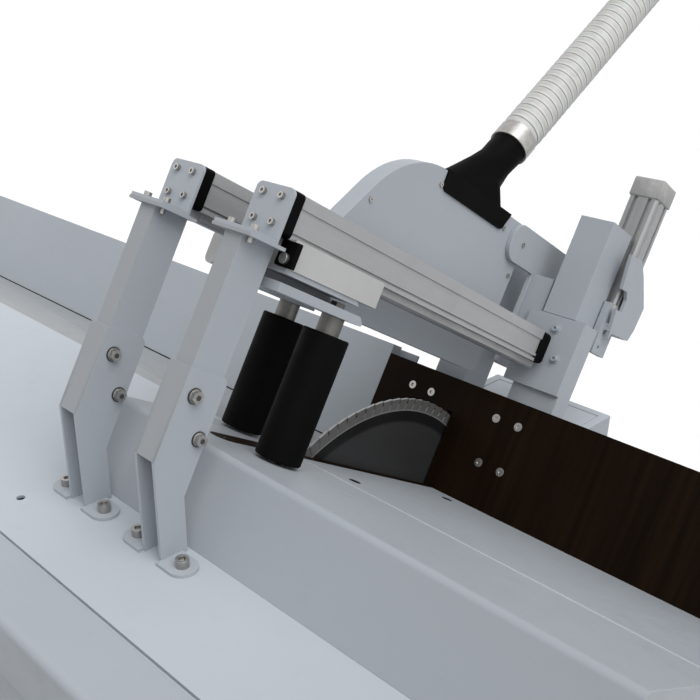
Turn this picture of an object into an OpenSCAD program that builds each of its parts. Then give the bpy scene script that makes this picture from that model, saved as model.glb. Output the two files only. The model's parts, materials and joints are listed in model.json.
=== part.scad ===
// Optimizing crosscut saw: leaning saw head on a cabinet, with two beams whose rubber
// rollers press the board to the fence, and a thin blade hood that comes down over the cut.

/* [Machine] */
// Overall width, infeed end to outfeed end
machine_w = 2300; // [2100:10:2500]
// Overall depth of the cabinet and decks
machine_d = 1210; // [1180:10:1300]
// Height of the flat deck above the floor
deck_h = 900; // [860:10:960]
// Distance of the blade plane from the middle of the machine
blade_off = 520; // [480:10:560]
// Lean of the saw head away from the operator, degrees
lean = 30; // [28:1:32]
// Thickness of the deck, table and fence sheets
sheet_t = 4; // [3:0.5:5]
// Thickness of the cabinet panels
panel_t = 2; // [1.5:0.5:3]
// Width of the cabinet under the saw
cabinet_w = 950; // [900:10:1000]
// Square tube of the cabinet frame
tube_w = 50; // [40:5:60]

/* [Table and fence] */
// Slope length of the table, from the deck line to the fence
bed_d = 355; // [345:1:365]
// Slope length of the raised wedge in front of the deck line
wedge_d = 200; // [190:1:210]
// Distance of the wedge's left cheek from the blade
wedge_left = 120; // [110:1:130]
// Height of the brown fence board
board_h = 182; // [170:1:190]
// Thickness of the brown fence board
board_t = 25; // [20:1:30]
// Height of the grey infeed fence
infeed_fence_h = 198; // [190:1:210]
// Distance of the board's left end from the blade
board_left = 158; // [150:1:170]
// Width of the saw slot in the board
slot_w = 12; // [10:1:14]
// Height of the saw slot in the board
slot_h = 128; // [124:1:140]
// Width of the kerf insert
insert_w = 39; // [34:1:44]
// Thickness of the kerf insert
insert_t = 6; // [5:1:8]

/* [Roller beams] */
// Distance between the two roller beams
beam_gap = 157; // [150:1:165]
// Distance of the right beam from the blade
beam_right = 87; // [82:1:92]
// Width and height of the beam section
beam_s = 50; // [46:1:54]
// Height of the beam axis above the table
beam_z = 275; // [265:1:285]
// Diameter of the press rollers
roller_d = 60; // [50:1:70]
// Length of the press rollers
roller_l = 166; // [150:1:175]
// Diameter of the roller shafts
roller_shaft_d = 30; // [24:1:34]

/* [Saw unit] */
// Blade diameter over the tooth tips
blade_d = 600; // [560:10:610]
// Thickness of the blade body
blade_t = 4; // [3:0.5:5]
// Number of teeth
teeth = 60; // [40:2:72]
// Height of the blade above the table when it is raised
blade_up = 130; // [110:5:135]
// Diameter of the blade clamping flanges
flange_d = 120; // [100:5:140]
// Diameter of the arbor
arbor_d = 35; // [30:1:40]
// Diameter of the motor
motor_d = 190; // [170:5:200]

/* [Hood] */
// Thickness of the blade hood
hood_w = 30; // [28:1:36]
// Height of the hood's lower edge above the table when it is raised
hood_z = 201; // [195:1:210]
// Height of the hood's top edge above the table when it is raised
hood_top = 448; // [440:1:455]
// Radius of the hood's front shoulder
hood_r = 155; // [140:1:160]
// Angle of the hood's front edge to the table, degrees
hood_slant = 58.5; // [55:0.5:62]
// Outside diameter of the suction neck
neck_d = 58; // [54:1:62]
// Side of the square lift cylinder
cyl_s = 54; // [50:1:56]

/* [Hidden] */
$fn = 48;

// Colours of the finishes
grey = [0.73, 0.76, 0.81];
alu = [0.74, 0.74, 0.73];
steel = [0.62, 0.62, 0.60];
black = [0.04, 0.04, 0.04];
brown = [0.12, 0.06, 0.03];
dark = [0.28, 0.29, 0.31];

// Gaps: a loose seat, a running fit on the radius, and clear air between moving pieces
seat_gap = 0.3;
run_gap = 0.05;

// The flat deck ends at this line, which is the origin of the leaning head
line_y = -155;

// Cabinet, in the frame of the whole machine
foot_h = 40;
front_inset = 30;
foot_d = 70;
cab_x = [machine_w/2 - cabinet_w, machine_w/2];
cab_y = [-machine_d/2 + front_inset, machine_d/2];
rail_low = [foot_h, foot_h + tube_w];
rear_deck_z = deck_h - 330;
rear_deck_y = line_y + 268;
// Chip tray on the low deck behind the blade
tray_x = [400, 650];
tray_y = [385, 519];
tray_top = 767;
tray_t = 3;
tray_rim = 16;
hinge_r = 7;
hinge_pin_d = 8;
hinge_l = 60;
hinge_z = [180, 640];
latch_z = 620;
hinge_x = cab_x[0] + 9;
hinge_y = cab_y[0] - 8;
apron_d = 50;
deck_hole_y = -317;
apron_h = 80;
door_z = [foot_h + 20, deck_h - apron_h - 6];
stand_x = -machine_w/2 + 60;

// Table, in the frame of the leaning head
table_t = 12;
seam_u = 12;
table_slots = [[99, 51], [86, 309]];
bed_end = bed_d + board_t + 4;
insert_u = -133;
insert_x = [3 - insert_w/2, 3 + insert_w/2];
kerf_gap = 2;
kerf_u = [38, bed_d];
wedge_wall = 4;
screw_seat = 4.6;
wedge_left_x = -wedge_left;
board_left_x = -board_left;

// Posts and beams
post_w = 36;
post_t = 4;
post_u = [-299, -241];
post_top = 85;
post_top_r = 10;
fork_y = [-272, -236];
foot_bolt_x = 42.5;
foot_bolt_y = -261;
foot_tab_w = 36;
chan_u = [post_u[0] + post_t, -245];
beam_w = [beam_z - beam_s/2, beam_z + beam_s/2];
bracket_t = 4;
rail_h = 12;
rail_w = 30;
head_plate = [beam_w[0] - 15, beam_w[0] - 11];
clamp_w = 61;
foot_plate_w = 65;
clamp_u = [-262, -258];
cap_t = 17;
rear_cap_l = 26;
beam_u = [clamp_u[1] + cap_t, 351];
rail_u = [-228, beam_u[1] + 20];
screw_pitch = 30;
shelf_u = [392, 400];
shelf_bar = 28;

// Roller carriages, measured from the roller's axis
roller_z = 4;
roller_rest = [-16, -98];
carriage_from = -135;
carriage_to = 31;
carriage_w = [220, beam_w[0] - rail_h - seat_gap];
cheek_x = [28, 32];
cheek_top = 253;
arm_from = -135;
end_t = 7;
stop_low = 200;
arm_to = 20;
arm_w = [193, 220];
arm_t = 6;
arm_floor = 11;
arm_x = [-25, 30];
stud_d = 12;
roller_wall = 4;

// Columns behind the fence
column_u = [400, 470];
column_t = 5;
sole_l = 150;
left_column_x = [-88, -27];
right_column_x = [64, 150];
right_column_rear = 440;
left_column_top = 400;
right_column_top = 334;
neck_x = [70.3, 126.7];
neck_top = 425;
cover_x = [68, 129];
cover_u = [396, 468];
cover_w = [334, 501];
cover_t = 2;
pad_w = [60, 170];

// Hood, its arm and its lift
hood_front = -141;
hood_rear = bed_d - 3;
hood_t = 2;
prop_u = 300;
hood_arc = [hood_front + (hood_top - hood_r - hood_z + hood_r*cos(hood_slant))/tan(hood_slant)
            + hood_r*sin(hood_slant), hood_top - hood_r];
hood_port = [126, 240];
plate_t = 8;
plate_x0 = hood_w/2;
arm_plate_u = [303, 516];
arm_plate_w = [230, hood_top];
arm_plate_notch = [397, 387];
cyl_x = 117;
cyl_u = 500;
cyl_w = [356, 604];
cyl_cap = 33;
cyl_bore = 40;
rod_d = 16;
piston_l = 15;
lift_floor = [344, 356];
bar_w = [315, 341];
bar_u = [476, 516];
gusset_x = [149, 155];
stop_x = [131, 143];
stop_u = [460, 507];
stop_w = [302, 388];
hood_rail_x = 56;
hood_rail_u = [416, 436];
slider_u = [403, 449];
slider_w = [290, 390];

// Suction nozzle and hose, in the plane of the hood
nozzle_t = 3;
skirt_w = hood_top - 28;
skirt_r = 10;
skirt_foot_u = [108, 264];
skirt_head_u = [107, 273];
nozzle_foot_u = [129.5, 242.5];
nozzle_foot_r = 17.5;
neck_c = [233, 536];
neck_tilt = 28;
// Slices of the nozzle: centre in u and w, tilt, half width and half length
nozzle_slices = [[200.5, 483, 15, 22, 42], [214, 505.5, 24, 27, 29],
                 [neck_c[0], neck_c[1], neck_tilt, neck_d/2, neck_d/2]];
spigot_l = 60;
collar_l = 28;
hose_d = 64;
hose_wall = 3;
rib_pitch = 20;
rib_h = 2.5;
hose_bore = hose_d - 2*rib_h - 2*hose_wall;
hose_run = 360;
// Bend and end of the hose, in y and z from the deck line
hose_bend = [960, 690];
hose_end = [980, 960];
hose_sides = 16;

// Saw unit under the table
blade_r = blade_d/2;
arbor_u = 290;
arbor_w = blade_up - blade_r;
saw_plate_x = [100, 115];
saw_plate_u = [60, 390];
saw_plate_w = [-540, -40];
housing_x = [22, 100];
housing_d = 90;
flange_t = 12;
belt_t = 6;
// Tooth points: share of the pitch, and depth below the tip
tooth_turn = [0, 0.86, 1.14, 1.22];
tooth_drop = [0, 1.2, 17.5, 18.5];
pulley_d = 110;
pulley_x = [122, 156];
motor_u = 130;
motor_w = arbor_w - 260;
motor_plate_x = [162, 172];
motor_l = 180;
motor_shaft_d = 28;
guide_x = [30, 70];
guide_u = [90, 365];
guide_rail_x = 85;
guide_rail_b = 20;
guide_rail_w = [-560, -60];
truck_w = [-310, -90];
truck_l = 60;
stroke_x = 50;
stroke_u = 200;
stroke_s = 44;
stroke_bore = 25;
stroke_w = [-700, -480];
stroke_cap = 20;
lug_w = [-320, -300];

function beam_x(i) = beam_right - (1 - i)*beam_gap;
function arc(c, r, a0, a1, n = 12) =
    [for (k = [0:n]) c + r*[cos(a0 + (a1 - a0)*k/n), sin(a0 + (a1 - a0)*k/n)]];
// A point of the head's u and w as y and z from the deck line, and back
function level(p) = [p[0]*cos(lean) + p[1]*sin(lean), -p[0]*sin(lean) + p[1]*cos(lean)];

// Rear top corner of the side panels, under the table's end
side_end = level([bed_end, -table_t - 8]);
// Middle of the sloping rail over its upright
prop_top = level([prop_u, -table_t - tube_w/2]);

// Frame of the blade plane on the deck line, level with the flat deck
module on_deck() { translate([blade_off, line_y, deck_h]) children(); }
// Frame of the leaning head: x along the feed, y down the slope, z off the table
module head() { on_deck() rotate([-lean, 0, 0]) children(); }
// Outlines in y and z, in x and z, and in x and y, made thick along the third axis
module slab_x(x0, x1) { translate([x0, 0, 0]) rotate([90, 0, 90]) linear_extrude(x1 - x0) children(); }
module slab_y(y0, y1) { translate([0, y1, 0]) rotate([90, 0, 0]) linear_extrude(y1 - y0) children(); }
module slab_z(z0, z1) { translate([0, 0, z0]) linear_extrude(z1 - z0) children(); }
module block(x, y, z) { translate([x[0], y[0], z[0]]) cube([x[1] - x[0], y[1] - y[0], z[1] - z[0]]); }
module rod_x(d, x, y = 0, z = 0) { translate([x[0], y, z]) rotate([0, 90, 0]) cylinder(d = d, h = x[1] - x[0]); }
module rod_y(d, y, x = 0, z = 0) { translate([x, y[0], z]) rotate([-90, 0, 0]) cylinder(d = d, h = y[1] - y[0]); }
module rod_z(d, z, x = 0, y = 0) { translate([x, y, z[0]]) cylinder(d = d, h = z[1] - z[0]); }

// Rectangle between two corners, with round corners
module round_rect(p, q, r) {
    translate([p[0] + r, p[1]]) square([q[0] - p[0] - 2*r, q[1] - p[1]]);
    translate([p[0], p[1] + r]) square([q[0] - p[0], q[1] - p[1] - 2*r]);
    for (x = [p[0] + r, q[0] - r], y = [p[1] + r, q[1] - r]) translate([x, y]) circle(r);
}

// Socket head screw along -z, its head on z = 0
module cap_screw(d, l) {
    difference() {
        cylinder(d = 1.6*d, h = d);
        translate([0, 0, d/2]) cylinder(d = 0.95*d, h = d, $fn = 6);
    }
    translate([0, 0, -l]) cylinder(d = d, h = l);
}

// Low round-headed screw along -z, its head on z = 0
module button_screw(d, l) {
    difference() {
        cylinder(d = 1.8*d, h = 0.5*d);
        translate([0, 0, 0.25*d]) cylinder(d = 0.7*d, h = d, $fn = 6);
    }
    translate([0, 0, -l]) cylinder(d = d, h = l);
}

// Base frame: a welded cabinet of square tube that carries the inclined saw guides
module frame_tubes() {
    xs = [cab_x[0] + panel_t, cab_x[1] - panel_t - tube_w];
    ys = [cab_y[0], cab_y[1] - panel_t - tube_w];
    top_z = deck_h - sheet_t;
    for (x = xs) {
        block([x, x + tube_w], [ys[0], ys[0] + tube_w], [foot_h, top_z]);
        block([x, x + tube_w], [ys[1], ys[1] + tube_w], [foot_h, rear_deck_z - sheet_t]);
        block([x, x + tube_w], [ys[0], ys[1] + tube_w], rail_low);
        block([x, x + tube_w], [ys[0], line_y - 30], [top_z - tube_w, top_z]);
        block([x, x + tube_w], [line_y + 200, ys[1] + tube_w],
              [rear_deck_z - sheet_t - tube_w, rear_deck_z - sheet_t]);
        intersection() {
            head() block([x - blade_off + 2, x - blade_off + tube_w - 2], [-60, bed_end],
                         [-table_t - tube_w, -table_t]);
            block([x, x + tube_w], [ys[0], cab_y[1]], [foot_h, top_z]);
        }
        // Upright under the low end of the table, its top inside the sloping rail
        block([x, x + tube_w], [line_y + prop_top[0] - tube_w/2, line_y + prop_top[0] + tube_w/2],
              [rail_low[1] - 1, deck_h + prop_top[1]]);
    }
    span = [xs[0] + tube_w, xs[1]];
    for (y = ys) block(span, [y, y + tube_w], rail_low);
    block(span, [ys[1], ys[1] + tube_w], [rear_deck_z - sheet_t - tube_w, rear_deck_z - sheet_t]);
    for (y = [ys[0], line_y - 85]) block(span, [y, y + tube_w], [top_z - tube_w, top_z]);
    block(span, [line_y + 480, line_y + 530], [rear_deck_z - sheet_t - tube_w, rear_deck_z - sheet_t]);
    for (u = guide_u) {
        intersection() {
            head() block(guide_x, [u - 20, u + 20], [-1000, -table_t]);
            block([0, machine_w/2], [cab_y[0], cab_y[1]], [rail_low[1] - 1, deck_h]);
        }
        block(span, [guide_foot(u) - 35, guide_foot(u) + 35], rail_low);
    }
    head() block(guide_x, [guide_u[0] + 20, guide_u[1] - 20], [stroke_w[0] - 40, stroke_w[0]]);
}

// Place in y where the saw guide at u meets the floor frame
function guide_foot(u) = line_y + (u - (deck_h - rail_low[1])*sin(lean))/cos(lean);

module base_frame() color(grey) {
    frame_tubes();
    for (z = hinge_z) {
        block([hinge_x - hinge_r + 1, hinge_x + hinge_r - 1], [hinge_y - hinge_r + 1, cab_y[0] + 4], [z - 12, z]);
        rod_z(hinge_pin_d, [z - 4, z + hinge_l - 6], hinge_x, hinge_y);
    }
}

module levelling_feet() color(steel) {
    for (x = [cab_x[0] + 40, cab_x[1] - 40, stand_x + tube_w/2], y = [cab_y[0] + 40, cab_y[1] - 40]) {
        fy = x < cab_x[0] && y > 0 ? line_y + 255 : y;
        translate([x, fy, 0]) {
            cylinder(d = foot_d, h = 10);
            cylinder(d = foot_d/2, h = 18);
            cylinder(d = 16, h = foot_h);
            translate([0, 0, foot_h - 12]) cylinder(d = 27, h = 12, $fn = 6);
        }
    }
}

// Side outline in y and z: level at the front, sloping under the table, low behind the fence
module side_outline() {
    polygon([[cab_y[0], foot_h + 20], [cab_y[1] - panel_t, foot_h + 20],
             [cab_y[1] - panel_t, rear_deck_z - sheet_t], [line_y + side_end[0], rear_deck_z - sheet_t],
             [line_y + side_end[0], deck_h + side_end[1]], [line_y - 14, deck_h - sheet_t - 14],
             [line_y - 14, deck_h - sheet_t], [cab_y[0], deck_h - sheet_t]]);
}

module side_panels() color(grey) {
    slab_x(cab_x[0], cab_x[0] + panel_t) side_outline();
    slab_x(cab_x[1] - panel_t, cab_x[1]) side_outline();
}

module rear_panel() color(grey)
    block(cab_x, [cab_y[1] - panel_t, cab_y[1]], [foot_h + 20, rear_deck_z - sheet_t]);

// Low deck behind the fence, slotted for the blade
module rear_deck() color(grey) difference() {
    union() {
        block([cab_x[0] + panel_t, cab_x[1] - panel_t], [rear_deck_y, line_y + side_end[0] + 1], [rear_deck_z - sheet_t, rear_deck_z]);
        block(cab_x, [line_y + side_end[0], cab_y[1]], [rear_deck_z - sheet_t, rear_deck_z]);
        block(tray_x, tray_y, [rear_deck_z - 1, tray_top]);
    }
    block([tray_x[0] + tray_t, tray_x[1] - tray_t], [tray_y[0] + tray_t, tray_y[1] - tray_t], [rear_deck_z, tray_top - tray_t]);
    block([tray_x[0] + tray_rim, tray_x[1] - tray_rim], [tray_y[0] + tray_rim, tray_y[1] - tray_rim], [rear_deck_z, tray_top + 1]);
    block([blade_off - 15, blade_off + 15], [rear_deck_y - 1, line_y + 480],
          [rear_deck_z - sheet_t - 1, rear_deck_z + 1]);
}

// Front door: folded sheet with two knuckles on the left edge
module cabinet_door() color(grey) {
    x = [hinge_x + hinge_r + 4, cab_x[1] - 4];
    block(x, [cab_y[0] - panel_t, cab_y[0]], door_z);
    for (xx = [x[0], x[1] - panel_t])
        block([xx, xx + panel_t], [cab_y[0] - 14, cab_y[0] - panel_t], door_z);
    for (z = [door_z[0], door_z[1] - panel_t])
        block(x, [cab_y[0] - 14, cab_y[0] - panel_t], [z, z + panel_t]);
    for (z = hinge_z) difference() {
        union() {
            rod_z(2*hinge_r, [z + seat_gap, z + hinge_l], hinge_x, hinge_y);
            block([hinge_x, x[0]], [hinge_y - 2, hinge_y + 2], [z + seat_gap, z + hinge_l]);
        }
        rod_z(hinge_pin_d + 2*run_gap, [z - 1, z + hinge_l + 1], hinge_x, hinge_y);
    }
}

// Round quarter-turn latch with its wing
module door_latch() color(black) {
    x = cab_x[1] - 60;
    y = cab_y[0] - panel_t;
    rod_y(34, [y - 8, y], x, latch_z);
    block([x - 4, x + 4], [y - 20, y - 8], [latch_z - 15, latch_z + 15]);
}

// Stand and rails that carry the infeed deck from its left end to the cabinet
module infeed_stand() color(grey) {
    front = [cab_y[0], cab_y[0] + tube_w];
    rear = [line_y + 230, line_y + 230 + tube_w];
    top_z = deck_h - sheet_t;
    x = [stand_x, stand_x + tube_w];
    block(x, front, [foot_h, top_z]);
    intersection() {
        block(x, rear, [foot_h, top_z]);
        head() block([-2*machine_w, 0], [-machine_d, machine_d], [-1000, -sheet_t]);
    }
    block(x, [front[0], rear[1]], [foot_h + 60, foot_h + 60 + tube_w]);
    block([stand_x, cab_x[0]], front, [top_z - tube_w, top_z]);
    head() block([stand_x - blade_off, cab_x[0] - blade_off], [270, 270 + tube_w],
                 [-sheet_t - tube_w, -sheet_t]);
}

// Flat deck with the sloping infeed bed bent from it
module deck_sheet() color(alu) difference() {
    union() {
        on_deck() block([-machine_w/2 - blade_off, wedge_left_x], [cab_y[0] + apron_d - line_y, 0], [-sheet_t, 0]);
        on_deck() block([wedge_left_x, machine_w/2 - blade_off], [cab_y[0] + apron_d - line_y, -10], [-sheet_t, 0]);
        head() block([-machine_w/2 - blade_off, wedge_left_x - 1], [0, bed_end], [-sheet_t, 0]);
        head() intersection() {
            block([-machine_w/2 - blade_off, wedge_left_x - 1], [-4, 4], [-sheet_t, 0]);
            rotate([lean, 0, 0]) block([-machine_w, wedge_left_x - 1], [-2.2, 4], [-sheet_t, 0]);
        }
    }
    on_deck() rod_z(11, [-10, 10], wedge_left_x - 10, deck_hole_y);
    on_deck() block([insert_x[0] - 4, insert_x[1] + 4], [-40, 1], [-sheet_t - 1, 1]);
}

// Front strip, bent down and rounded on its front edge
module front_apron() color(alu) {
    y0 = -machine_d/2;
    y1 = cab_y[0] + apron_d - 5;
    r = 10;
    slab_x(-machine_w/2, machine_w/2) difference() {
        union() {
            translate([y0 + r, deck_h - r]) circle(r);
            translate([y0 + r, deck_h - sheet_t]) square([y1 - y0 - r, sheet_t]);
            translate([y0, deck_h - apron_h]) square([sheet_t, apron_h - r]);
        }
        translate([y0 + r, deck_h - r]) circle(r - sheet_t);
        translate([y0 + sheet_t, deck_h - 3*r]) square([r - sheet_t, 2*r]);
        translate([y0 + r, deck_h - 3*r]) square([r, 3*r - sheet_t]);
    }
}

// Raised wedge in front of the table: folded box with a pocket for the kerf insert
module wedge_table() color(alu) {
    x1 = machine_w/2 - blade_off;
    foot = -wedge_d*tan(lean);
    difference() {
        union() {
            head() block([wedge_left_x, x1], [-wedge_d + 8, seam_u], [-table_t, 0]);
            head() block([wedge_left_x, x1], [-wedge_d, -wedge_d + wedge_wall], [foot - 20, -8]);
            head() rod_x(16, [wedge_left_x, x1], -wedge_d + 8, -8);
            for (x = [wedge_left_x, x1 - wedge_wall]) head() slab_x(x, x + wedge_wall)
                polygon([[-wedge_d + 2, -8], [-wedge_d + 8, -1], [0, -1], [0, -table_t], [-wedge_d + 2, foot - 20]]);
        }
        on_deck() block([-200, x1 + 1], [-2*wedge_d, -9.7], [-3*wedge_d, 0]);
        head() block([wedge_left_x - 1, x1 + 1], [0, seam_u + 1], [-table_t - 1, -sheet_t]);
        insert_pocket();
    }
}

// Pocket and slot of the kerf insert, cut in the wedge and in the table
module insert_pocket() {
    mid = (insert_x[0] + insert_x[1])/2;
    head() slab_z(-insert_t, 1) {
        translate([mid, insert_u + insert_w/2]) circle(insert_w/2 + seat_gap);
        translate([insert_x[0] - seat_gap, insert_u + insert_w/2])
            square([insert_w + 2*seat_gap, bed_d - insert_u]);
    }
    head() block([-8, 8], [kerf_u[0] - 4, bed_end + 1], [-table_t - 1, 1]);
}

module saw_bed() color(alu) difference() {
    head() block([wedge_left_x, machine_w/2 - blade_off], [seam_u + seat_gap, bed_end], [-table_t, 0]);
    insert_pocket();
    for (p = table_slots) head() block([p[0] - 7, p[0] + 7], [p[1] - 1.5, p[1] + 1.5], [-6, 1]);
}

module kerf_insert() color(brown) head() difference() {
    mid = (insert_x[0] + insert_x[1])/2;
    slab_z(-insert_t, 0) {
        translate([mid, insert_u + insert_w/2]) circle(insert_w/2);
        translate([insert_x[0], insert_u + insert_w/2]) square([insert_w, bed_d - insert_u - insert_w/2 - seat_gap]);
    }
    block([-blade_t/2 - kerf_gap, blade_t/2 + kerf_gap], [kerf_u[0], bed_d + 1], [-insert_t - 1, 1]);
    for (u = [insert_u + 20, 10]) translate([mid, u, 0]) cylinder(d = 5.6, h = 20, center = true);
}

module table_screws() color(steel) head() for (u = [insert_u + 20, 10])
    translate([(insert_x[0] + insert_x[1])/2, u, -5]) {
        translate([0, 0, 0]) cylinder(d = 5, h = 5 - seat_gap);
    }

// Infeed fence: a box with a tongue behind the fence board
module infeed_fence() color(alu) head() difference() {
    union() {
        block([-machine_w/2 - blade_off, board_left_x - seat_gap], [bed_d, bed_d + board_t], [0, infeed_fence_h]);
        block([board_left_x - seat_gap - 1, board_left_x + 40], [bed_d + board_t, bed_end], [100, board_h + 12]);
        block([board_left_x - 60, board_left_x], [bed_d + board_t - 1, bed_end], [100, board_h + 12]);
    }
    block([-machine_w, board_left_x - seat_gap - sheet_t],
          [bed_d + sheet_t, bed_d + board_t - sheet_t], [sheet_t, infeed_fence_h - sheet_t]);
}

module fence_board() color(brown) head() difference() {
    block([board_left_x, machine_w/2 - blade_off], [bed_d, bed_d + board_t], [0, board_h]);
    block([-slot_w/2, slot_w/2], [bed_d - 1, bed_d + board_t + 1], [-1, slot_h]);
    for (p = fence_holes()) translate([p[0], bed_d, p[1]]) rotate([-90, 0, 0]) {
        translate([0, 0, -1]) cylinder(d = 8.4, h = 2*board_t);
        translate([0, 0, -1]) cylinder(d = 15.2, h = 1 + screw_seat);
    }
}

function fence_holes() = [for (x = [left_column_x[0] - 2, left_column_x[1] - 22]) [x, 145],
                          for (x = [right_column_x[0] + 22, right_column_x[0] + 64], z = [69, 145]) [x, z]];

module fence_screws() color(steel) head() for (p = fence_holes())
    translate([p[0], bed_d + screw_seat, p[1]]) rotate([90, 0, 0]) button_screw(8, board_t - screw_seat);

// Forks on the deck that hold the posts: two bent flanges, a front web and foot tabs
module post_forks() color(steel) for (i = [0, 1]) on_deck() translate([beam_x(i), 0, 0]) {
    bend_front = level([post_u[0], -25]);
    bend_rear = level([post_u[1], -57]);
    tip = [for (p = concat(
        [[post_u[0], post_top]],
        arc([post_u[1] - post_top_r, post_top - post_top_r], post_top_r, 90, 0, 6))) level(p)];
    difference() {
        for (s = [-1, 1]) slab_x(s*(post_w/2 - post_t/2) - post_t/2, s*(post_w/2 - post_t/2) + post_t/2)
            polygon(concat([[fork_y[0], 0], [fork_y[0], bend_front[1]]], tip,
                           [[fork_y[1], bend_rear[1]], [fork_y[1], 0]]));
        rotate([-lean, 0, 0]) post_side_bolts(2.1*5);
    }
    rotate([-lean, 0, 0]) block([-post_w/2 + 1, post_w/2 - 1], [post_u[0], post_u[0] + post_t], [-25, post_top]);
    for (s = [-1, 1]) difference() {
        union() {
            block([min(s*foot_bolt_x, s*(post_w/2 - 1)), max(s*foot_bolt_x, s*(post_w/2 - 1))],
                  [foot_bolt_y - foot_tab_w/2, foot_bolt_y + foot_tab_w/2], [0, post_t]);
            rod_z(foot_tab_w, [0, post_t], s*foot_bolt_x, foot_bolt_y);
        }
        rod_z(11, [-1, 10], s*foot_bolt_x, foot_bolt_y);
    }
}

function post_bolt_places() = [[post_u[0] + 19, 56], [chan_u[1] - 7, 11]];

module post_side_bolts(d) for (p = post_bolt_places()) rod_x(d, [-40, 40], p[0], p[1]);

// Channels nested in the forks, with the plate that carries the beam bracket
module post_channels() color(alu) head() for (i = [0, 1]) translate([beam_x(i), 0, 0]) {
    w = post_w - 2*post_t;
    difference() {
        block([-w/2, w/2], chan_u, [-20, head_plate[0]]);
        block([-w/2 + post_t, w/2 - post_t], [chan_u[0] + post_t, chan_u[1] + 1], [-21, head_plate[0] + 1]);
        post_side_bolts(2.1*5);
    }
    difference() {
        block([-foot_plate_w/2, foot_plate_w/2], [chan_u[0] - 6, chan_u[1] - 1], head_plate);
        for (s = [-1, 1]) translate([s*19, clamp_u[0] - 25, 0]) rod_z(7, [head_plate[0] - 1, head_plate[1] + 1]);
    }
}

// Bolts of the posts: through the forks, into the deck and through the head plates
module post_bolts() color(steel) for (i = [0, 1]) {
    on_deck() translate([beam_x(i), 0, 0]) for (s = [-1, 1])
        translate([s*foot_bolt_x, foot_bolt_y, post_t]) cap_screw(10, post_t);
    head() translate([beam_x(i), 0, 0]) {
        for (p = post_bolt_places()) {
            rod_x(8, [-post_w/2 - 8, post_w/2 + 2], p[0], p[1]);
            rod_x(16, [post_w/2, post_w/2 + 2], p[0], p[1]);
            translate([post_w/2 + 2, p[0], p[1]]) rotate([0, 90, 0]) cylinder(d = 15, h = 6, $fn = 6);
            translate([-post_w/2 - 8, p[0], p[1]]) rotate([0, 90, 0]) cylinder(d = 15, h = 8, $fn = 6);
        }
        for (s = [-1, 1]) translate([s*19, clamp_u[0] - 25, head_plate[1] + bracket_t]) cap_screw(6, 14);
    }
}

// Brackets between the posts and the front ends of the beams
module beam_brackets() color(steel) head() for (i = [0, 1]) translate([beam_x(i), 0, 0]) difference() {
    union() {
        block([-clamp_w/2, clamp_w/2], [chan_u[0] - 6, clamp_u[1]], [head_plate[1], head_plate[1] + bracket_t]);
        slab_y(clamp_u[0], clamp_u[1]) {
            translate([-clamp_w/2, head_plate[1]]) square([clamp_w, 50]);
            round_rect([-clamp_w/2, head_plate[1] + 20], [clamp_w/2, beam_w[1] + 1], 8);
        }
    }
    for (s = [-1, 1]) rod_z(7, [head_plate[1] - 1, head_plate[1] + bracket_t + 1], s*19, clamp_u[0] - 25);
    clamp_holes(6);
}

module clamp_holes(d) for (x = [-1, 1], z = [-1, 1])
    rod_y(d, [clamp_u[0] - 1, beam_u[0] + 30], x*screw_pitch/2, beam_z + z*screw_pitch/2);

module bracket_screws() color(steel) head() for (i = [0, 1], x = [-1, 1], z = [-1, 1])
    translate([beam_x(i) + x*screw_pitch/2, clamp_u[0], beam_z + z*screw_pitch/2])
        rotate([90, 0, 0]) cap_screw(5, 40);

// Beams: grooved square profile with the rail that the carriage runs under
module roller_beams() color(alu) head() for (i = [0, 1]) translate([beam_x(i), 0, 0]) {
    difference() {
        slab_y(beam_u[0], beam_u[1]) difference() {
            translate([-beam_s/2, beam_w[0]]) square(beam_s);
            for (s = [-1, 1]) translate([s*beam_s/2 - 2, beam_w[0] + 12]) square([4, beam_s - 26]);
            for (s = [-1, 1]) translate([s*beam_s/2 - 4, beam_w[0] + 5]) square([8, 3]);
            translate([-6, beam_w[1] - 3]) square([12, 4]);
        }
        clamp_holes(5.6);
    }
    difference() {
        slab_y(rail_u[0], rail_u[1]) polygon([[-rail_w/2 + 3, beam_w[0] - rail_h],
            [rail_w/2 - 3, beam_w[0] - rail_h], [rail_w/2, beam_w[0] - rail_h + 3], [rail_w/2, beam_w[0]],
            [-rail_w/2, beam_w[0]], [-rail_w/2, beam_w[0] - rail_h + 3]]);
    }
}

// Black end caps: flat in front, rounded behind
module beam_caps() color(black) head() for (i = [0, 1]) translate([beam_x(i), 0, 0]) {
    difference() {
        slab_y(clamp_u[1], beam_u[0]) round_rect([-beam_s/2 - 3, beam_w[0] - 1], [beam_s/2 + 3, beam_w[1] + 1], 6);
        clamp_holes(6);
    }
    slab_y(beam_u[1], beam_u[1] + rear_cap_l)
        round_rect([-beam_s/2, beam_w[0]], [beam_s/2, beam_w[1]], 8);
}

// Plates that join the rear ends of the beams to the columns
module beam_shelves() color(alu) head() {
    for (i = [0, 1]) translate([beam_x(i), 0, 0])
        block([-shelf_bar/2, shelf_bar/2], [beam_u[1] + rear_cap_l, shelf_u[0]], [beam_z - 15, beam_z + 15]);
    block([beam_x(0) - 33, left_column_x[1]], shelf_u, [beam_w[0] - 14, beam_w[1] + 30]);
    block([right_column_x[0] - 16, right_column_x[1]], shelf_u, [hood_z + 11, right_column_top]);
    for (p = [[beam_x(1) + 19, beam_w[1] + 13], [beam_x(1) + 37, beam_w[0] + 17],
              [beam_x(0) + 22, beam_w[1] + 13], [beam_x(0) + 36, beam_w[0] + 19]])
        translate([p[0], shelf_u[0], p[1]]) rotate([90, 0, 0]) {
            cylinder(d = 14, h = 1.5);
            translate([0, 0, 1.5]) cap_screw(6, 1.5);
        }
}

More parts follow.
